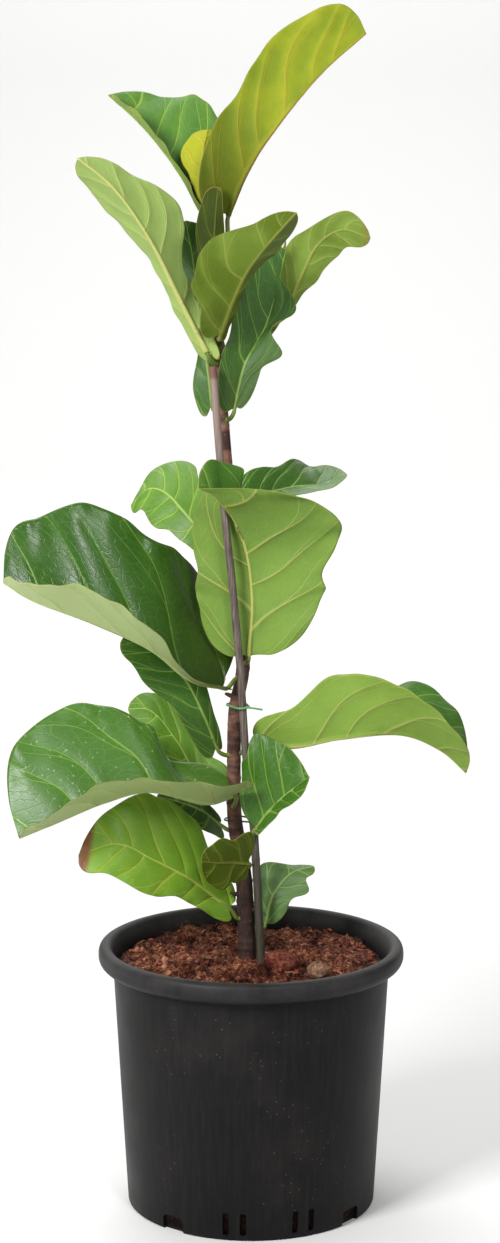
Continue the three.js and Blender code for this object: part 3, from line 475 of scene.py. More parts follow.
def leaf_skin(name, below):
    """Fig leaf skin. Above it is a waxy cuticle, which gives it a broad pale gloss over dark
    green; below it is matt and paler, with cream veins that stand proud."""
    material, tree, surface = start(name, IOR=1.45, Specular_IOR_Level=0.2 if below else 0.36)
    phase, step, off_rib, to_edge, along, tone, dry, spots, dusty, deep, shine, pale_lit_underside = (
        add(tree, "Attribute", attribute_name=key).outputs["Fac"] for key in BLADE_VALUES)
    # Distance in mm to the nearest side vein, which thins from about 1 mm to 0.4 mm outwards.
    near = add(tree, "Math", (phase, 0.5), operation="PINGPONG")
    near = add(tree, "Math", (near, step), operation="MULTIPLY")
    width = add(tree, "MapRange", (off_rib, 4, 80, 0.85 if below else 0.65, 0.3), **FADE)
    vein = add(tree, "Math", (near, width), operation="DIVIDE")
    vein = add(tree, "MapRange", (vein, 0.5, 1.5, 1.0, 0.0), **FADE)
    # Each side vein forks 0.4 of the way out, and the branch runs on towards the base.
    out = add(tree, "Math", (off_rib, to_edge), operation="ADD")
    out = add(tree, "Math", (off_rib, out), operation="DIVIDE")
    apart = add(tree, "Math", (out, 0.4), operation="SUBTRACT")
    apart = add(tree, "Math", (apart, 0.75), operation="MULTIPLY")
    fork = add(tree, "Math", (phase, apart), operation="SUBTRACT")
    fork = add(tree, "Math", (fork, 0.5), operation="PINGPONG")
    fork = add(tree, "Math", (fork, step), operation="MULTIPLY")
    fork = add(tree, "Math", (fork, width), operation="DIVIDE")
    fork = add(tree, "MapRange", (fork, 0.4, 1.2, 1.0, 0.0), **FADE)
    begun = add(tree, "MapRange", (out, 0.39, 0.43, 0.0, 0.8), **FADE)
    fork = add(tree, "Math", (fork, begun), operation="MULTIPLY")
    vein = add(tree, "Math", (vein, fork), operation="MAXIMUM")
    halo = add(tree, "MapRange", (near, 0, 9, 1.0, 0.0), **FADE)
    rib = add(tree, "MapRange", (along, 0.0, 1.0, 1.5, 0.45), **FADE)
    rib = add(tree, "Math", (off_rib, rib), operation="DIVIDE")
    rib = add(tree, "MapRange", (rib, 0.55, 1.15, 1.0, 0.0), **FADE)
    # The net of fine veins: cells of 7.5 mm, then of 2.6 mm, which stand for real ones of about
    # 1 mm, too fine to show. Slow waves about 8 mm long bend both by up to 5 mm.
    flat = add(tree, "Math", (phase, step), operation="MULTIPLY")
    flat = add(tree, "CombineXYZ", (flat, off_rib, tone))
    bend = add(tree, "TexNoise", {"Vector": flat, "Scale": 1 / 8.333, "Detail": 3.0})
    bent = add(tree, "VectorMath", (bend.outputs["Color"], (5.0, 5.0, 0.0), flat),
               operation="MULTIPLY_ADD")
    coarse, fine = (add(tree, "TexVoronoi", {"Vector": bent, "Scale": 1 / cell},
                        feature="DISTANCE_TO_EDGE", voronoi_dimensions="2D") for cell in (7.5, 2.6))
    net = add(tree, "MapRange", (coarse, 0.0, 0.09, 1.0, 0.0), **FADE)
    fine_net = add(tree, "MapRange", (fine, 0.0, 0.14, 1.0, 0.0), **FADE)
    # Slow mottling over the blade, 38 mm across, and a lighter tone beside the veins.
    place = add(tree, "TexCoord").outputs["Object"]
    patch = add(tree, "TexNoise", {"Vector": place, "Scale": every(38.46), "Detail": 3.0,
                                   "Roughness": 0.55})
    mottle = add(tree, "MapRange", (patch, 0.3, 0.7, -0.03, 0.03), **FADE)
    glow = add(tree, "Math", (halo, 0.03 if below else 0.06), operation="MULTIPLY")
    shade = add(tree, "Math", (tone, mottle), operation="ADD")
    shade = add(tree, "Math", (shade, glow), operation="ADD")
    colour = add(tree, "ValToRGB", (shade,), UNDER if below else UPPER)
    pale = add(tree, "ValToRGB", (tone,), UNDER_VEIN if below else UPPER_VEIN)
    # Some blades are darker olive towards the base, partly their own colour and partly painted
    # shade near the trunk, and a thin reddish cream line edges each.
    base = add(tree, "MapRange", (along, 0.0, 0.5, 0.75, 0.0), **FADE)
    rim = add(tree, "MapRange", (to_edge, 0.2, 0.6, 0.45, 0.0), **FADE)
    # Dry brown at a scorched tip, with a ragged border.
    ragged = add(tree, "Math", (patch, 0.16), operation="MULTIPLY")
    ragged = add(tree, "Math", (along, ragged), operation="ADD")
    brown = add(tree, "MapRange", (ragged, 1.0, 1.04, 0.0, 1.0), **FADE)
    # Dried water marks: pale dots about 2 mm wide, in a third of the cells of 5.3 mm.
    dots = add(tree, "TexVoronoi", {"Vector": place, "Scale": every(5.263)})
    dot = add(tree, "MapRange", (dots, 0.1, 0.24, 1.0, 0.0), **FADE)
    chosen = add(tree, "SeparateColor", (dots.outputs["Color"],))
    chosen = add(tree, "MapRange", (chosen, 0.62, 0.66, 0.0, 1.0), **FADE)
    dot = add(tree, "Math", (dot, chosen), operation="MULTIPLY")
    dot = add(tree, "Math", (dot, spots), operation="MULTIPLY")
    # From the skin outwards: how much of each layer, its share of it, and its colour. The first
    # is a paler underside: partly the blade's own colour, and partly painted light on undersides
    # that face the lamps.
    for mask, share, over in (
            *([(pale_lit_underside, 0.7, lin("#c2d195"))] if below else []),
            (fine_net, 0.04, pale), (net, 0.07, pale), (vein, 0.42 if below else 0.38, pale),
            (rib, 0.7, pale), (base, deep, lin("#2f3a0c")), (rim, 1.0, lin("#8a7a3c")),
            (brown, dry, lin("#704a2a")), (dot, 0.3, lin("#a9bd92")),
            (dusty, 0.3, lin("#78826a"))):
        amount = add(tree, "Math", (mask, share), operation="MULTIPLY")
        colour = add(tree, "Mix", {0: amount, 6: colour, 7: over}, **TINT)
    # Side veins and net are sunk above and proud below, by parts of 0.5 or 0.6 mm.
    height = None
    for part, share in ((vein, 0.7), (net, 0.22), (fine_net, 0.08)):
        part = add(tree, "Math", (part, share), operation="MULTIPLY")
        height = add(tree, "Math", (height, part), operation="ADD") if height else part
    bump = add(tree, "Bump", {"Strength": 0.55, "Distance": (0.6 if below else 0.5) * MM,
                              "Height": height}, invert=not below)
    rough = (0.7, 0.58, 0.7) if below else (0.72, 0.38, 0.5)
    gloss = add(tree, "MapRange", (patch, 0.3, *rough), **FADE)
    if not below:
        smoother = add(tree, "Math", (shine, 0.16), operation="MULTIPLY")
        gloss = add(tree, "Math", (gloss, smoother), operation="SUBTRACT")
    fill(tree, surface, {"Base Color": colour, "Roughness": gloss, "Normal": bump})
    return material


def stalk_skin(name):
    """Young fig bark on the leaf stalks: smooth green wood with a few brown flecks 6 mm apart."""
    material, tree, surface = start(name, Roughness=0.5, IOR=1.45)
    place = add(tree, "TexCoord").outputs["Object"]
    flecks = add(tree, "TexNoise", {"Vector": place, "Scale": every(6.25), "Detail": 4.0})
    colour = add(tree, "ValToRGB", (flecks,),
                 {0.3: "#4d6420", 0.5: "#647528", 0.62: "#71742e", 0.75: "#574a24"})
    bump = add(tree, "Bump", {"Strength": 0.3, "Distance": 0.3 * MM, "Height": flecks})
    fill(tree, surface, {"Base Color": colour, "Normal": bump})
    return material


def bark(name):
    """Fig bark, grown: dry brown with upright cracks and small pale pores. Both are drawn about
    twice as coarse as real ones, 2.4 mm and 4.8 mm apart, so that they show."""
    material, tree, surface = start(name, Roughness=0.82, IOR=1.45)
    place = add(tree, "TexCoord").outputs["Object"]
    height = add(tree, "SeparateXYZ", (place,)).outputs["Z"]
    upright = add(tree, "Mapping", {"Vector": place, "Scale": (1.0, 1.0, 0.22)})
    crack = add(tree, "TexNoise", {"Vector": upright, "Scale": every(2.381), "Detail": 6.0,
                                   "Roughness": 0.65})
    colour = add(tree, "ValToRGB", (crack,),
                 {0.3: "#170b08", 0.45: "#2b1610", 0.58: "#4a2b20", 0.75: "#7d5a4a"})
    patch = add(tree, "TexNoise", {"Vector": place, "Scale": every(22.22), "Detail": 3.0})
    pore = add(tree, "TexVoronoi", {"Vector": place, "Scale": every(4.762)})
    pore = add(tree, "MapRange", (pore, 0.12, 0.24, 0.35, 0.0))
    # Paler rings of old leaf scars, about 9 mm apart, which are faint below 0.33 m.
    level = add(tree, "Mapping", {"Vector": place, "Scale": (0.4, 0.4, 1.5)})
    ring = add(tree, "TexNoise", {"Vector": level, "Scale": every(13.33), "Detail": 6.0})
    ring = add(tree, "MapRange", (ring, 0.45, 0.66, 0.0, 0.6))
    zone = add(tree, "MapRange", (height, 0.29, 0.33, 0.15, 1.0))
    ring = add(tree, "Math", (ring, zone), operation="MULTIPLY")
    # Darker low down, and still green up the top shoot.
    darker_low_trunk = add(tree, "MapRange", (height, 0.27, 0.38, 0.55, 0.0))
    green = add(tree, "MapRange", (height, 0.68, 0.80, 0.0, 0.75))
    for amount, over in ((patch, "#38201a"), (pore, "#8a6c54"), (ring, "#8f6555"),
                         (darker_low_trunk, "#160b08"), (green, "#56602a")):
        colour = add(tree, "Mix", {0: amount, 6: colour, 7: lin(over)}, **TINT)
    bump = add(tree, "Bump", {"Strength": 0.8, "Distance": 0.8 * MM, "Height": crack})
    fill(tree, surface, {"Base Color": colour, "Normal": bump})
    return material


def cane(name):
    """Weathered bamboo cane: grey-brown with long fibres, greenish low down and reddish at its
    cut top. The fibres are drawn 1.1 mm apart, several times the real ones, so that they show."""
    material, tree, surface = start(name, Roughness=0.6, IOR=1.5)
    place = add(tree, "TexCoord").outputs["Object"]
    height = add(tree, "SeparateXYZ", (place,)).outputs["Z"]
    upright = add(tree, "Mapping", {"Vector": place, "Scale": (1.0, 1.0, 0.05)})
    fibre = add(tree, "TexNoise", {"Vector": upright, "Scale": every(1.1111), "Detail": 4.0})
    colour = add(tree, "ValToRGB", (fibre,), {0.3: "#352c27", 0.5: "#554a44", 0.7: "#7c6e65"})
    # Each zone: the heights in m between which it fades, its share below and above, its colour.
    for low, high, before, after, over in (
            (0.28, 0.42, 0.75, 0.0, "#2b2c1c"), (0.62, 0.70, 0.0, 0.7, "#8d786d"),
            (0.731, 0.734, 0.0, 0.8, "#63362c")):
        zone = add(tree, "MapRange", (height, low, high, before, after))
        colour = add(tree, "Mix", {0: zone, 6: colour, 7: lin(over)}, **TINT)
    bump = add(tree, "Bump", {"Strength": 0.4, "Distance": 0.3 * MM, "Height": fibre})
    fill(tree, surface, {"Base Color": colour, "Normal": bump})
    return material


def coir(name, dark, mid, light):
    """Coconut coir, milled: damp reddish-brown pith and short fibres, with no shine. Its grains
    are 4.3 mm across and its damper patches 21 mm."""
    material, tree, surface = start(name, Roughness=0.95, Specular_IOR_Level=0.15)
    place = add(tree, "TexCoord").outputs["Object"]
    grains = add(tree, "TexNoise", {"Vector": place, "Scale": every(4.3478), "Detail": 6.0,
                                    "Roughness": 0.7})
    colour = add(tree, "ValToRGB", (grains,), {0.32: dark, 0.5: mid, 0.68: light})
    patch = add(tree, "TexNoise", {"Vector": place, "Scale": every(20.833), "Detail": 3.0})
    shade = add(tree, "ValToRGB", (patch,), {0.35: "#7d5a4c", 0.6: "#ffffff"})
    colour = add(tree, "Mix", {0: 1.0, 6: colour, 7: shade}, blend_type="MULTIPLY", **TINT)
    # Painted shade in the hollows between crumbs and towards the wall, and darker, nearly black,
    # low in the pot.
    painted_soil_shade = add(tree, "Attribute", attribute_name="painted_soil_shade").outputs["Fac"]
    height = add(tree, "SeparateXYZ", (place,)).outputs["Z"]
    darker_low_in_pot = add(tree, "MapRange", (height, 0.06, 0.18, 0.85, 0.0))
    for amount, over in ((painted_soil_shade, "#140503"), (darker_low_in_pot, "#0c0403")):
        colour = add(tree, "Mix", {0: amount, 6: colour, 7: lin(over)}, **TINT)
    bump = add(tree, "Bump", {"Strength": 1.0, "Distance": 1.5 * MM, "Height": grains})
    fill(tree, surface, {"Base Color": colour, "Normal": bump})
    return material


def pot_plastic(name, body):
    """Black polypropylene, injection moulded: a soft satin, scuffed and greyed by fine dust. Its
    moulded grain is drawn 1.4 mm apart, coarser than the real one, so that it shows."""
    material, tree, surface = start(name, Specular_IOR_Level=0.13)
    place = add(tree, "TexCoord").outputs["Object"]
    height = add(tree, "SeparateXYZ", (place,)).outputs["Z"]
    broad = add(tree, "TexNoise", {"Vector": place, "Scale": every(90.91), "Detail": 5.0,
                                   "Roughness": 0.6})
    colour = add(tree, "ValToRGB", (broad,), {0.3: "#0b0b0b", 0.55: body, 0.75: "#201e1d"})
    # Upright scuffs 3.8 mm apart, and a few pale specks of dust on some patches.
    upright = add(tree, "Mapping", {"Vector": place, "Scale": (1.0, 1.0, 0.07)})
    scuff = add(tree, "TexNoise", {"Vector": upright, "Scale": every(3.8462), "Detail": 5.0,
                                   "Roughness": 0.7})
    scuff = add(tree, "MapRange", (scuff, 0.45, 0.75, 0.0, 0.15))
    speck = add(tree, "TexVoronoi", {"Vector": place, "Scale": every(6.6667)})
    speck = add(tree, "MapRange", (speck, 0.05, 0.12, 0.25, 0.0))
    kept = add(tree, "MapRange", (broad, 0.5, 0.6, 0.0, 1.0))
    speck = add(tree, "Math", (speck, kept), operation="MULTIPLY")
    # Dust lies on the lip.
    lip = add(tree, "MapRange", (height, 0.213, 0.228, 0.0, 1.0))
    settled = add(tree, "MapRange", (broad, 0.35, 0.65, 0.1, 0.7))
    lip = add(tree, "Math", (lip, settled), operation="MULTIPLY")
    for amount, over in ((scuff, "#3a3837"), (speck, "#8a837c"), (lip, "#444242")):
        colour = add(tree, "Mix", {0: amount, 6: colour, 7: lin(over)}, **TINT)
    rough = add(tree, "MapRange", (broad, 0.3, 0.7, 0.4, 0.58))
    grain = add(tree, "TexNoise", {"Vector": place, "Scale": every(1.4286), "Detail": 3.0})
    bump = add(tree, "Bump", {"Strength": 0.25, "Distance": 0.3 * MM, "Height": grain})
    fill(tree, surface, {"Base Color": colour, "Roughness": rough, "Normal": bump})
    return material


def wire(name, body, end=None):
    """Garden wire in an extruded PVC coat: plain colour and a soft shine. With end, its left end
    is that bare colour. The coat's waviness is drawn 1.1 mm long, so that it shows."""
    material, tree, surface = start(name, Base_Color=body, Roughness=0.4, IOR=1.5)
    place = add(tree, "TexCoord").outputs["Object"]
    if end:
        across = add(tree, "SeparateXYZ", (place,)).outputs["X"]
        bare = add(tree, "MapRange", (across, -0.0225, -0.0215, 1.0, 0.0))
        fill(tree, surface, {"Base Color": add(tree, "Mix", {0: bare, 6: body, 7: end}, **TINT)})
    coat = add(tree, "TexNoise", {"Vector": place, "Scale": every(1.1111)})
    bump = add(tree, "Bump", {"Strength": 0.2, "Distance": 0.2 * MM, "Height": coat})
    fill(tree, surface, {"Normal": bump})
    return material


# Pieces.

def trunk_at(z):
    """Centre and radius of the trunk at heights z: straight between its stations."""
    z = np.asarray(z, float)
    x, y, r = (np.interp(z, TRUNK[:, 2], TRUNK[:, k]) for k in (0, 1, 3))
    return np.stack([x, y, z, r], -1)


def stalk_path(leaf, count):
    """Bezier from 0.6 mm under the trunk's skin to the blade's base, along the midrib there."""
    base, _ = midrib(leaf["rib"], np.array(0.0))
    ahead = unit(midrib(leaf["rib"], np.array(0.04))[0] - base)
    x, y, z, r = trunk_at(leaf["foot"])
    target = np.array(leaf.get("via", base), float)
    out = unit(np.array([target[0] - x, target[1] - y, 0]))
    foot = np.array([x, y, z]) + out * (r - 0.6)
    last = base - ahead * 1.2
    reach = np.linalg.norm(foot - last) / 3
    leave = target if "via" in leaf else foot + out * reach
    arrive = last - ahead * reach
    t = np.linspace(0, 1, count)[:, None]
    return ((1 - t) ** 3 * foot + 3 * t * (1 - t) ** 2 * leave + 3 * t * t * (1 - t) * arrive
            + t ** 3 * last)


def blade_rows(leaf, rows):
    """Even places along the outline, or ones that crowd together where the blade is slit."""
    if "notch" not in leaf:
        return np.linspace(0, LAST_ROW, rows)
    _, at, span, _ = leaf["notch"]
    spread = np.linspace(0, 1, 4000)
    run = np.cumsum(1 + 6 * np.exp(-((smooth(OUTLINE, spread)[:, 0] - at) / span) ** 4))
    return np.interp(np.linspace(run[0], run[-1], rows + NOTCH_ROWS), run, spread * LAST_ROW)


def blade_sheet(leaf, s, k, u):
    """The middle of the blade's thickness. A point at (s, u) goes u to the power BOW of the way
    along the midrib from s to the power SET_BACK to the outline's place at s, and out from there
    by the local margin vector times the half width at s times u. Returns the points, their
    distance from the midrib, the margin's distance from it, and their place along it."""
    along, wide = np.moveaxis(smooth(OUTLINE, s[:, 0]), -1, 0)
    along, wide = along[:, None], np.maximum(wide, 0)[:, None]
    sheet = np.zeros((len(s), k.size, 3))
    reach, full, places = np.zeros((3, len(s), k.size))
    for side, cols in (("left", k[0] <= 0), ("right", k[0] > 0)):
        begin, width, out = s ** SET_BACK, wide, u[:, cols]
        if leaf.get("notch", ("",))[0] == side:
            _, at, span, deep = leaf["notch"]
            width = width * (1 - deep * np.exp(-((along - at) / span) ** 4))
            begin = begin + ((np.clip(along, 0, 1) - begin)
                             * np.exp(-((along - at) / (2.2 * span)) ** 4))
        place = begin + (along - begin) * out ** BOW
        margin = smooth(leaf[side], (place - STEP_FIRST) / (STEP_LAST - STEP_FIRST), level=True)
        sheet[:, cols] = midrib(leaf["rib"], place)[0] + margin * (width * out)[..., None]
        reach[:, cols] = np.linalg.norm(margin, axis=-1) * width * out
        full[:, cols] = np.linalg.norm(margin, axis=-1) * width
        places[:, cols] = place
    return sheet, reach, full, places


def facing(sheet):
    """The way each point of a sheet faces: across its rows and columns."""
    return unit(np.cross(np.gradient(sheet, axis=1), np.gradient(sheet, axis=0)))


def side_veins(leaf, place, lateral, k, seed):
    """Run of the side veins, whole on each vein. They leave the midrib, sweep on towards the
    tip by the distance out and its square, come later on the left, and wander by two slow
    sines."""
    origin = place - SWEEP * lateral - SWEEP * lateral ** 2
    phase = origin * leaf["veins"] + np.where(k > 0, 0.0, LEFT_LATER)
    return phase + WANDER * np.sin(phase * 2.3 + seed) + 0.05 * np.sin(9 * lateral + phase * 3)


def blade_shell(above, below):
    """Vertices and quads of the closed shell between two sheets: the upper sheet's quads, the
    lower one's turned over, and a strip along each of the four edges."""
    rows, cols = above.shape[:2]
    top = np.arange(rows * cols).reshape(rows, cols)
    low = top + rows * cols
    faces = [cells(top[:-1, :-1], top[:-1, 1:], top[1:, 1:], top[1:, :-1]),
             cells(low[:-1, :-1], low[1:, :-1], low[1:, 1:], low[:-1, 1:]),
             cells(top[:-1, 0], top[1:, 0], low[1:, 0], low[:-1, 0]),
             cells(top[:-1, -1], low[:-1, -1], low[1:, -1], top[1:, -1]),
             cells(top[0, :-1], low[0, :-1], low[0, 1:], top[0, 1:]),
             cells(top[-1, :-1], top[-1, 1:], low[-1, 1:], low[-1, :-1])]
    index = np.concatenate([np.full(len(face), int(i == 1)) for i, face in enumerate(faces)])
    return np.vstack([above.reshape(-1, 3), below.reshape(-1, 3)]), np.vstack(faces), index


def build_leaf(name, leaf, sizes, materials):
    """One leaf. Its sheet is quilted between the side veins by their run's sine and rippled
    along the margin by two sines. The skin lies half a thickness above and below it, with the
    side veins as valleys above and ridges below and the midrib as a round ridge below. The
    stalk is a tube, swollen at its foot, that ends inside the midrib."""
    thickness, rib_height, quilting, rippling = (
        getattr(sizes, key) / MM for key in ("thickness", "rib_height", "quilt", "ripple"))
    length = midrib(leaf["rib"], np.array(0.0))[1]
    rows, half = FINE_GRID if length > FINE_FROM or name == "leaf_low_right" else PLAIN_GRID
    s = blade_rows(leaf, rows)[:, None]
    k = np.linspace(-1, 1, 2 * half + 1)[None, :]
    u = np.abs(k) ** CROWD
    sheet, reach, full, place = blade_sheet(leaf, s, k, u)
    seed = sum(map(ord, name))
    widest = max(full.max(), 1.0)
    scale = min(widest / USUAL_HALF, 1.4)
    phase = side_veins(leaf, place, reach / widest, k, seed)
    step = VEINED * length / leaf["veins"]
    near = np.abs(phase - np.round(phase)) * step
    # The quilting dies away at the midrib, the margin and the tip; the ripple grows outwards.
    calm = (np.clip(u / 0.15, 0, 1) * np.clip((1 - u) / 0.18, 0, 1)
            * np.clip((1 - s) / 0.1, 0, 1))
    quilt = quilting * scale * (np.abs(np.sin(np.pi * phase)) ** 0.7 - 0.55) * calm
    edge = (np.clip((u - 0.45) / 0.55, 0, 1) ** 2 * np.clip((0.99 - s) / 0.12, 0, 1)
            * np.clip(s / 0.05, 0, 1))
    run = 2 * np.pi * place * length
    ripple = rippling * scale * edge * (np.sin(run / LONG_WAVE + seed + np.where(k > 0, 0, 2.1))
                                        + 0.5 * np.sin(run / SHORT_WAVE + 1.7 * seed))
    sheet = sheet + facing(sheet) * (quilt + ripple)[..., None]
    up = facing(sheet)
    thick = thickness * (1 - 0.45 * u ** 3) / 2
    tapered = np.clip(place, 0, 1)
    rib_half = RIB_HALF * (1 - 0.7 * tapered) * min(scale + 0.35, 1.2)
    proud = (rib_height * (1 - 0.8 * tapered) * min(scale + 0.2, 1.1)
             * np.sqrt(np.clip(1 - (reach / rib_half) ** 2, 0, 1)))
    ridge, valley, rib_valley = (
        high * scale * np.exp(-(off / wide) ** 2)
        for off, (high, wide) in ((near, RIDGE), (near, VALLEY), (reach, RIB_VALLEY)))
    ridge = ridge * (1 - 0.6 * u) * np.clip((reach - rib_half) / 3, 0, 1)
    sunk = valley * (1 - 0.7 * u) + rib_valley
    verts, quads, index = blade_shell(sheet + up * (thick - sunk * calm)[..., None],
                                      sheet - up * (thick + proud + ridge * calm)[..., None])
    path = stalk_path(leaf, 26)
    inside = midrib(leaf["rib"], np.linspace(0.0, 0.09, 5))[0]
    under = -up[:6, half].mean(0) * 0.7
    path = np.vstack([path, inside + under * np.linspace(0.3, 1, 5)[:, None]])
    f = np.linspace(0, 1, len(path))
    end = min(STALK_RADIUS, 0.6 + 0.022 * np.linalg.norm(leaf["left"][1]))
    radius = ((STALK_RADIUS + (end - STALK_RADIUS) * f ** 2) * (1 + 0.28 * np.exp(-(f / 0.07) ** 2))
              * np.interp(f, [0, 0.84, 1], [1, 1, 0.55]))
    stalk, sides, ends = skin(sweep(path, radius, 14))
    count = len(verts)
    index = np.concatenate([index, np.full(len(sides) + len(ends), 2)])
    values = {key: np.concatenate([part.ravel(), part.ravel(), np.zeros(len(stalk))])
              for key, part in (("phase", phase), ("off_rib", reach), ("to_edge", full - reach),
                                ("along", place))}
    values["tone"] = np.repeat([leaf["upper"], leaf["under"], 0.0],
                               [count // 2, count // 2, len(stalk)])
    values["step"] = step
    for key in ("dry", "spots", "dusty", "deep", "shine", "pale_lit_underside"):
        values[key] = leaf.get(key, 0.0)
    piece = make("fine_" + name, np.vstack([verts, stalk]), np.vstack([quads, sides + count]),
                 ends + count, materials, index, values)
    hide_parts(name)


def build_trunk():
    """A tube up the trunk's line, whose corners a running mean rounds off: radius times one
    plus slow waves round and along it, plus a crescent lip at each old leaf scar. Stubs are
    short tapered tubes."""
    low, high = TRUNK[0, 2] + 2, TRUNK[-1, 2] - 0.4
    z = np.linspace(low, high, 720)
    at = trunk_at(z)
    for c in (0, 1, 3):
        at[:, c] = np.convolve(np.pad(at[:, c], 12, mode="edge"), np.ones(25) / 25, mode="valid")
    around = 32
    turn = np.linspace(0, 2 * math.pi, around, endpoint=False)[None, :]
    z = z[:, None]
    bump = 0.035 * waves(np.cos(turn) * 3 + z * 0.02, np.sin(turn) * 3 + z * 0.09, 3)
    for height, way, proud in SCARS:
        towards = np.cos(turn - math.radians(way))
        lip = np.exp(-((z - height - 1.2 * towards) / 1.5) ** 2)
        bump = bump + proud / 6 * lip * (0.35 + 0.65 * np.clip(towards, 0, 1))
    close = np.interp(z[:, 0], [low, 848, high], [1, 1, 0.55])
    parts = [skin(sweep(at[:, :3], at[:, 3] * close, around, 1 + bump))]
    for height, way, far in STUBS:
        x, y, level, r = trunk_at(height)
        out = np.array([math.cos(math.radians(way)), math.sin(math.radians(way)), 0.25])
        line = np.array([x, y, level]) + out * np.linspace(0, r + far, 9)[:, None]
        parts.append(skin(sweep(line, np.interp(np.arange(9), [0, 6, 8], [2.6, 1.9, 1.2]), 12)))
    piece = make("fine_trunk", *join(parts), [bark("fig_bark")])
    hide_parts("trunk")


def build_stake():
    """A tube up the cane's line, 0.2 mm inside its solid, with slow waves round it and a small
    swelling, a bell curve of the height, at each joint of the cane."""
    low, high = STAKE[0, 2], STAKE[-1, 2] - 0.2
    z = np.linspace(low, high, 520)
    x, y, r = (np.interp(z, STAKE[:, 2], STAKE[:, k]) for k in (0, 1, 3))
    joints = np.exp(-(((z - 60) % JOINTS_APART - JOINTS_APART / 2) / 2.2) ** 2)
    around = 20
    turn = np.linspace(0, 2 * math.pi, around, endpoint=False)[None, :]
    bump = 0.015 * waves(np.cos(turn) * 2, np.sin(turn) * 2 + z[:, None] * 0.01, 5)
    radius = (r - 0.2 + 0.18 * joints) * np.interp(z, [low, high - 1.4, high], [1, 1, 0.8])
    tube = skin(sweep(np.stack([x, y, z], -1), radius, around, 1 + bump))
    piece = make("fine_stake", *tube, [cane("bamboo_cane")])
    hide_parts("stake")


def soil_lumps(x, y):
    """Height of the crumbly lumps: round backs with sharp valleys, 25 mm and 9 mm apart."""
    return sum(rise * np.abs(waves(x * pace, y * pace, seed, octaves))
               for rise, pace, seed, octaves in LUMPS)


def soil_height(x, y):
    """Height of the coir: a level that falls to the wall, with wide mounds, round clods and
    crumbly lumps."""
    z = COIR_TOP + 1.8 * waves(x * 0.045, y * 0.045, 11, 3) - 6 * (np.hypot(x, y) / COIR_RADIUS) ** 5
    for cx, cy, r, high in MOUNDS:
        z = z + high * np.clip(1 - ((x - cx) ** 2 + (y - cy) ** 2) / r ** 2, 0, 1) ** 2
    for cx, cy, r in CLODS:
        z = z + r * 0.62 * np.sqrt(np.clip(1 - ((x - cx) ** 2 + (y - cy) ** 2) / r ** 2, 0, 1))
    return z + soil_lumps(x, y) + 0.8 * waves(x * 1.1, y * 1.1, 13, 2)


def near_stems(x, y, trunk_reach, cane_reach):
    """True where any of the points is too near the trunk or the cane, in mm."""
    return any(np.hypot(x - stem[0], y - stem[1]).min() < reach
               for stem, reach in ((TRUNK[2], trunk_reach), (STAKE[1], cane_reach)))


def crumb(i, rng):
    """A ball of coir, 0.9 to 4.3 mm in radius and mostly small, with waves round it, flattened,
    turned and set half into the surface, or nothing where a stem stands."""
    far, way = 113 * math.sqrt(rng.uniform(0.01, 1)), rng.uniform(0, 2 * math.pi)
    x, y = far * math.cos(way), far * math.sin(way)
    if near_stems(x, y, 11, 7):
        return None
    size = 0.9 + 3.4 * rng.random() ** 4
    a = np.linspace(0.3, math.pi - 0.3, 5)[:, None]
    b = np.linspace(0, 2 * math.pi, 7, endpoint=False)[None, :]
    bump = 1 + 0.4 * waves(a * 2.1 + i, np.cos(b) * 2 + i * 0.3, i, 2)
    ball = np.stack([np.sin(a) * np.cos(b) * bump, np.sin(a) * np.sin(b) * bump,
                     -np.cos(a) * bump], -1)
    ball = ball * np.array([1, rng.uniform(0.5, 1), rng.uniform(0.35, 0.8)]) * size
    c, d = math.cos(way * 3), math.sin(way * 3)
    ball = ball @ np.array([[c, -d, 0], [d, c, 0], [0, 0, 1]]).T
    level = float(soil_height(np.array(x), np.array(y)))
    return skin(ball + np.array([x, y, level + size * 0.15]))


def fibre(rng):
    """A thin tube along an evenly curved line that rises off the coir in its middle, or nothing
    where it would cross a stem or the wall."""
    far, way = 110 * math.sqrt(rng.uniform(0.02, 1)), rng.uniform(0, 2 * math.pi)
    start_way, long, curl = rng.uniform(0, 2 * math.pi), rng.uniform(7, 24), rng.uniform(-1.6, 1.6)
    t = np.linspace(0, 1, 9)
    head = start_way + curl * t
    x = far * math.cos(way) + np.cumsum(np.cos(head)) * long / 9
    y = far * math.sin(way) + np.cumsum(np.sin(head)) * long / 9
    if np.hypot(x, y).max() >= 115 or near_stems(x, y, 10, 6):
        return None
    z = soil_height(x, y) + 0.4 + np.sin(t * math.pi) * 5 * rng.random() ** 2
    return skin(sweep(np.stack([x, y, z], -1), np.full(9, rng.uniform(0.15, 0.38)), 4))


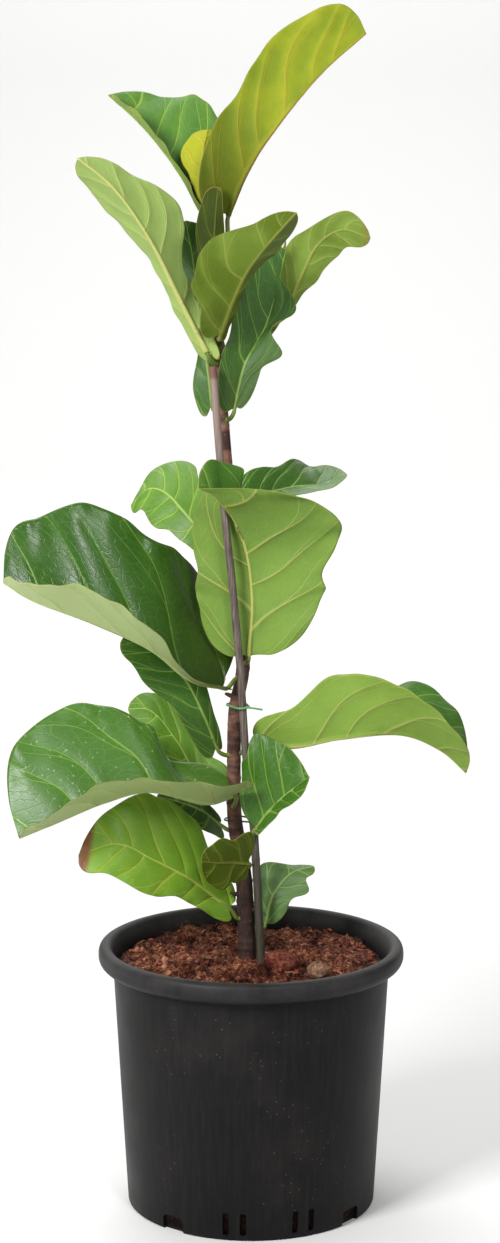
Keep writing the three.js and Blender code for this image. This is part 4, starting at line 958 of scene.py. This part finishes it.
def build_soil(sizes, look):
    """Rings from the middle of the top out to the wall, down it and in again along the floor;
    the top's height is soil_height. The clod and the chip are balls with waves on them. Crumbs
    and fibres are strewn by a seeded generator."""
    around = 330
    turn = np.linspace(0, 2 * math.pi, around, endpoint=False)
    r = np.concatenate([[1.2], np.linspace(3, 114, 108), [117.0, 118.6]])[:, None]
    x, y = r * np.cos(turn), r * np.sin(turn)
    top = np.stack([x, y, soil_height(x, y)], -1)
    top[-1, :, 2] = np.minimum(top[-1, :, 2], 213)
    wall = [np.stack([radius * np.cos(turn), radius * np.sin(turn), np.full(around, height)], -1)
            for radius, height in COIR_SIDE]
    verts, quads, tris = skin(np.concatenate([top, np.array(wall)])[:, ::-1])
    # Painted shade in the valleys between the lumps, and painted shadow of the rim towards the wall.
    painted_soil_shade = np.interp(soil_lumps(verts[:, 0], verts[:, 1]), [0.3, 1.6], [0.85, 0.0])
    painted_soil_shade = np.maximum(painted_soil_shade, np.interp(np.hypot(verts[:, 0], verts[:, 1]), [98, 117], [0.0, 0.8]))
    mix = coir("coconut_coir", "#1a0704", look.coir, "#bb8769")
    piece = make("fine_soil", verts, quads, tris, [mix], values={"painted_soil_shade": painted_soil_shade})
    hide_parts("soil")
    rng = np.random.default_rng(7)
    crumbs = [part for part in (crumb(i, rng) for i in range(sizes.crumbs)) if part]
    # Two big pieces by the cane: a round clod, and a pale chip of husk.
    for name, spot, size, mix in (
            ("soil_clod", (27, -50, 230), (16, 14, 10),
             coir("coir_clod", "#260d08", "#5a2a20", "#83513f")),
            ("soil_chip", (58, -64, 227), (10, 7, 8),
             coir("husk_chip", "#2e160e", "#86644f", "#c4a78f"))):
        a = np.linspace(0.06, math.pi - 0.06, 36)[:, None]
        b = np.linspace(0, 2 * math.pi, 48, endpoint=False)[None, :]
        out = np.stack([np.sin(a) * np.cos(b), np.sin(a) * np.sin(b), -np.cos(a) * np.ones_like(b)], -1)
        bumps = 1 + 0.10 * waves(out[..., 0] * 3 + out[..., 2], out[..., 1] * 3, 5, 4)[..., None]
        ball = out * bumps * np.array(size) + np.array(spot)
        make(name, *skin(ball), [mix])
    crumbs = make("soil_crumbs", *join(crumbs), [coir("coir_crumbs", "#2b120c", "#6b3526", "#a86b4c")])
    fibres = [part for part in (fibre(rng) for _ in range(sizes.fibres)) if part]
    fibres = make("soil_fibres", *join(fibres), [coir("coir_fibres", "#4a2216", "#8a5238", "#b98a62")])


def opening(way, offset, wide, low, high, level, deep):
    """A block with well-rounded corners, a superellipse, through the wall at so many degrees
    round from the front, offset sideways, from low to high, and deep across the wall, whose
    radius is taken at the given level."""
    radius = FOOT_RADIUS + (NECK_RADIUS - FOOT_RADIUS) * level / LIP_LOW
    a = np.linspace(0, 2 * math.pi, 24, endpoint=False)
    x = offset + np.sign(np.cos(a)) * np.abs(np.cos(a)) ** 0.35 * wide / 2
    z = np.sign(np.sin(a)) * np.abs(np.sin(a)) ** 0.35 * (high - low) / 2 + (low + high) / 2
    c, d = math.cos(math.radians(way)), math.sin(math.radians(way))
    return skin(np.array([np.stack([x * c + y * d, x * d - y * c, z], -1)
                          for y in (radius - deep / 2, radius + deep / 2)]))


def build_pot(look):
    """The wall's profile carried round the axis, with the lip as a smooth curve through its
    corners; the notches and the drain slots are then cut out of it."""
    curve = np.minimum(smooth(LIP, np.linspace(0, 1, 44)), (RIM_RADIUS, POT_HIGH))
    body = np.stack([np.linspace(FOOT_RADIUS, NECK_RADIUS, 26), np.linspace(2, LIP_LOW - 0.4, 26)], -1)
    inner = np.stack([np.linspace(NECK_RADIUS - WALL, FOOT_RADIUS - WALL, 16),
                      np.linspace(LIP_LOW, FLOOR_THICK, 16)], -1)
    profile = np.vstack([BASE, body, curve, inner, [(60, FLOOR_THICK), (0.8, FLOOR_THICK)]])
    turn = np.linspace(0, 2 * math.pi, 256, endpoint=False)[None, :] - math.pi / 2
    rings = np.stack([profile[:, :1] * np.cos(turn), profile[:, :1] * np.sin(turn),
                      profile[:, 1:] * np.ones_like(turn)], -1)
    piece = make("fine_pot", *skin(rings), [pot_plastic("black_polypropylene", look.pot)])
    cutters = [opening(way, 0.0, **NOTCH_BLOCK) for way in NOTCHES]
    cutters += [opening(way, offset, **SLOT_BLOCK) for way in SLOTS
                for offset in (-SLOT_OFFSET, SLOT_OFFSET)]
    tool = make("cutter", *join(cutters), [], smooth_faces=False)
    cut = piece.modifiers.new("openings", "BOOLEAN")
    cut.operation, cut.solver, cut.object = "DIFFERENCE", "EXACT", tool
    depsgraph = bpy.context.evaluated_depsgraph_get()
    cleaned = bpy.data.meshes.new_from_object(piece.evaluated_get(depsgraph), depsgraph=depsgraph)
    piece.modifiers.clear()
    piece.data = cleaned
    bpy.data.objects.remove(tool)
    piece.data.set_sharp_from_angle(angle=math.radians(35))
    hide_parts("pot")


# Add-on.

class PlantSizes(bpy.types.PropertyGroup):
    """Sizes of the plant's fine detail."""
    thickness: FloatProperty(name="Leaf thickness", description="Thickness of a blade at its midrib",
                             default=0.0009, min=0.0006, max=0.002, unit="LENGTH")
    rib_height: FloatProperty(name="Midrib height", description="How proud the midrib is below",
                              default=0.0016, min=0.0, max=0.004, unit="LENGTH")
    quilt: FloatProperty(name="Quilting", description="Rise of the blade between its side veins",
                         default=0.0010, min=0.0, max=0.003, unit="LENGTH")
    ripple: FloatProperty(name="Margin ripple", description="Waves along the margin",
                          default=0.0007, min=0.0, max=0.004, unit="LENGTH")
    crumbs: IntProperty(name="Crumbs", description="Loose crumbs of coir", default=700, min=0, max=1200)
    fibres: IntProperty(name="Fibres", description="Loose coir fibres", default=620, min=0, max=900)


COLOUR = {"subtype": "COLOR", "size": 4, "min": 0, "max": 1}


class PlantLook(bpy.types.PropertyGroup):
    """Colours of the pot, the coir and the ties, and the stage's colour and light."""
    pot: FloatVectorProperty(name="Pot", description="Middle tone of the pot's plastic",
                             default=lin("#131212"), **COLOUR)
    coir: FloatVectorProperty(name="Coir", description="Middle tone of the coir",
                              default=lin("#532a1e"), **COLOUR)
    tie_upper: FloatVectorProperty(name="Upper tie", description="Colour of the upper tie's coat",
                                   default=lin("#4f8a4a"), **COLOUR)
    tie_lower: FloatVectorProperty(name="Lower tie", description="Colour of the lower tie's coat",
                                   default=lin("#1c1b1a"), **COLOUR)
    floor: FloatVectorProperty(name="Floor", description="Colour of the floor",
                               default=lin("#dbdbda"), **COLOUR)
    key: FloatProperty(name="Key light", description="Power of the main soft light", default=75.0,
                       min=0, unit="POWER")
    fill: FloatProperty(name="Room light", description="Strength of the even light all round",
                        default=0.36, min=0)


class PLANT_OT_leaves(bpy.types.Operator):
    """Build the leaves with their veins and stalks"""
    bl_idname = "plant.leaves"
    bl_label = "Leaves"

    def execute(self, context):
        materials = [leaf_skin("leaf_cuticle_above", False), leaf_skin("leaf_skin_below", True),
                     stalk_skin("green_stalk")]
        for name, leaf in LEAVES.items():
            build_leaf(name, leaf, context.scene.plant_sizes, materials)
        return {"FINISHED"}


class PLANT_OT_trunk(bpy.types.Operator):
    """Build the woody trunk with its leaf scars"""
    bl_idname = "plant.trunk"
    bl_label = "Trunk"

    def execute(self, context):
        build_trunk()
        return {"FINISHED"}


class PLANT_OT_stake(bpy.types.Operator):
    """Build the cane and finish its ties"""
    bl_idname = "plant.stake"
    bl_label = "Cane and ties"

    def execute(self, context):
        look = context.scene.plant_look
        build_stake()
        for node, material in (
                ("tie_upper", wire("green_coated_wire", look.tie_upper, lin("#d8d2b0"))),
                ("tie_lower", wire("black_coated_wire", look.tie_lower))):
            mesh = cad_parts[node].data
            mesh.materials.clear()
            mesh.materials.append(material)
        return {"FINISHED"}


class PLANT_OT_soil(bpy.types.Operator):
    """Build the coir with its crumbs and fibres"""
    bl_idname = "plant.soil"
    bl_label = "Coir"

    def execute(self, context):
        build_soil(context.scene.plant_sizes, context.scene.plant_look)
        return {"FINISHED"}


class PLANT_OT_pot(bpy.types.Operator):
    """Build the nursery pot with its lip, notches and drain slots"""
    bl_idname = "plant.pot"
    bl_label = "Pot"

    def execute(self, context):
        build_pot(context.scene.plant_look)
        return {"FINISHED"}


class PLANT_OT_stage(bpy.types.Operator):
    """Add the floor, the soft lights and the camera"""
    bl_idname = "plant.stage"
    bl_label = "Stage"

    def execute(self, context):
        look = context.scene.plant_look
        t = np.linspace(0, math.pi / 2, 40)
        y = np.concatenate([[-FLOOR_REACH], LEVEL_TO + BEND * np.sin(t), [LEVEL_TO + BEND]])
        z = np.concatenate([[0], BEND * (1 - np.cos(t)), [BACK_HIGH]])
        x, y = np.meshgrid(np.linspace(-FLOOR_REACH, FLOOR_REACH, 3), y)
        verts = np.stack([x, y, np.repeat(z[:, None], 3, 1)], -1)
        ids = np.arange(y.size).reshape(y.shape)
        quads = cells(ids[:-1, :-1], ids[:-1, 1:], ids[1:, 1:], ids[1:, :-1])
        mesh = bpy.data.meshes.new("floor")
        mesh.from_pydata((verts.reshape(-1, 3) * MM).tolist(), [], quads.tolist())
        mesh.polygons.foreach_set("use_smooth", np.full(len(quads), True))
        # Uncoated paper, matt all over.
        mesh.materials.append(start("studio_paper", Base_Color=look.floor, Roughness=0.9)[0])
        floor = bpy.data.objects.new("floor", mesh)
        context.scene.collection.objects.link(floor)
        world = bpy.data.worlds.new("studio")
        world.use_nodes = True
        fill(world.node_tree, world.node_tree.nodes["Background"], (lin("#ffffff"), look.fill))
        context.scene.world = world
        context.scene.view_settings.view_transform = "Standard"
        for name, spot, aim, size, share in LIGHTS:
            data = bpy.data.lights.new(name, "AREA")
            data.energy, data.size = look.key * share, size
            lamp = bpy.data.objects.new(name, data)
            lamp.location = spot
            x, y, z = np.array(aim) - np.array(spot)
            lamp.rotation_euler = (math.atan2(math.hypot(x, y), -z), 0, math.atan2(-x, y))
            context.scene.collection.objects.link(lamp)
        data = bpy.data.cameras.new("camera")
        data.sensor_width, data.sensor_height = SENSOR, SENSOR
        data.lens = SENSOR * FOCAL / PHOTO_HIGH
        camera = bpy.data.objects.new("camera", data)
        camera.location = CAMERA_AT
        camera.rotation_euler = (math.radians(90 - CAMERA_DOWN), 0, 0)
        context.scene.collection.objects.link(camera)
        context.scene.camera = camera
        return {"FINISHED"}


class PLANT_PT_panel(bpy.types.Panel):
    """Lists the pieces of the plant and their sizes"""
    bl_idname = "PLANT_PT_panel"
    bl_label = "Fiddle leaf fig"
    bl_space_type = "VIEW_3D"
    bl_region_type = "UI"
    bl_category = "Plant"

    def draw(self, context):
        for group in (context.scene.plant_sizes, context.scene.plant_look):
            for key in type(group).__annotations__:
                self.layout.prop(group, key)
        for operator in OPERATORS:
            self.layout.operator(operator.bl_idname)


OPERATORS = (PLANT_OT_pot, PLANT_OT_soil, PLANT_OT_trunk, PLANT_OT_stake, PLANT_OT_leaves,
             PLANT_OT_stage)
CLASSES = (PlantSizes, PlantLook, *OPERATORS, PLANT_PT_panel)


def register():
    """Adds the classes, and the settings of the plant to each scene."""
    for cls in CLASSES:
        bpy.utils.register_class(cls)
    bpy.types.Scene.plant_sizes = PointerProperty(type=PlantSizes)
    bpy.types.Scene.plant_look = PointerProperty(type=PlantLook)


def unregister():
    """Takes the settings and the classes away again."""
    del bpy.types.Scene.plant_look
    del bpy.types.Scene.plant_sizes
    for cls in reversed(CLASSES):
        bpy.utils.unregister_class(cls)


def main():
    """Builds the plant and its stage."""
    register()
    bpy.ops.plant.pot()
    bpy.ops.plant.soil()
    bpy.ops.plant.trunk()
    bpy.ops.plant.stake()
    bpy.ops.plant.leaves()
    bpy.ops.plant.stage()


if __name__ == "__main__":
    main()
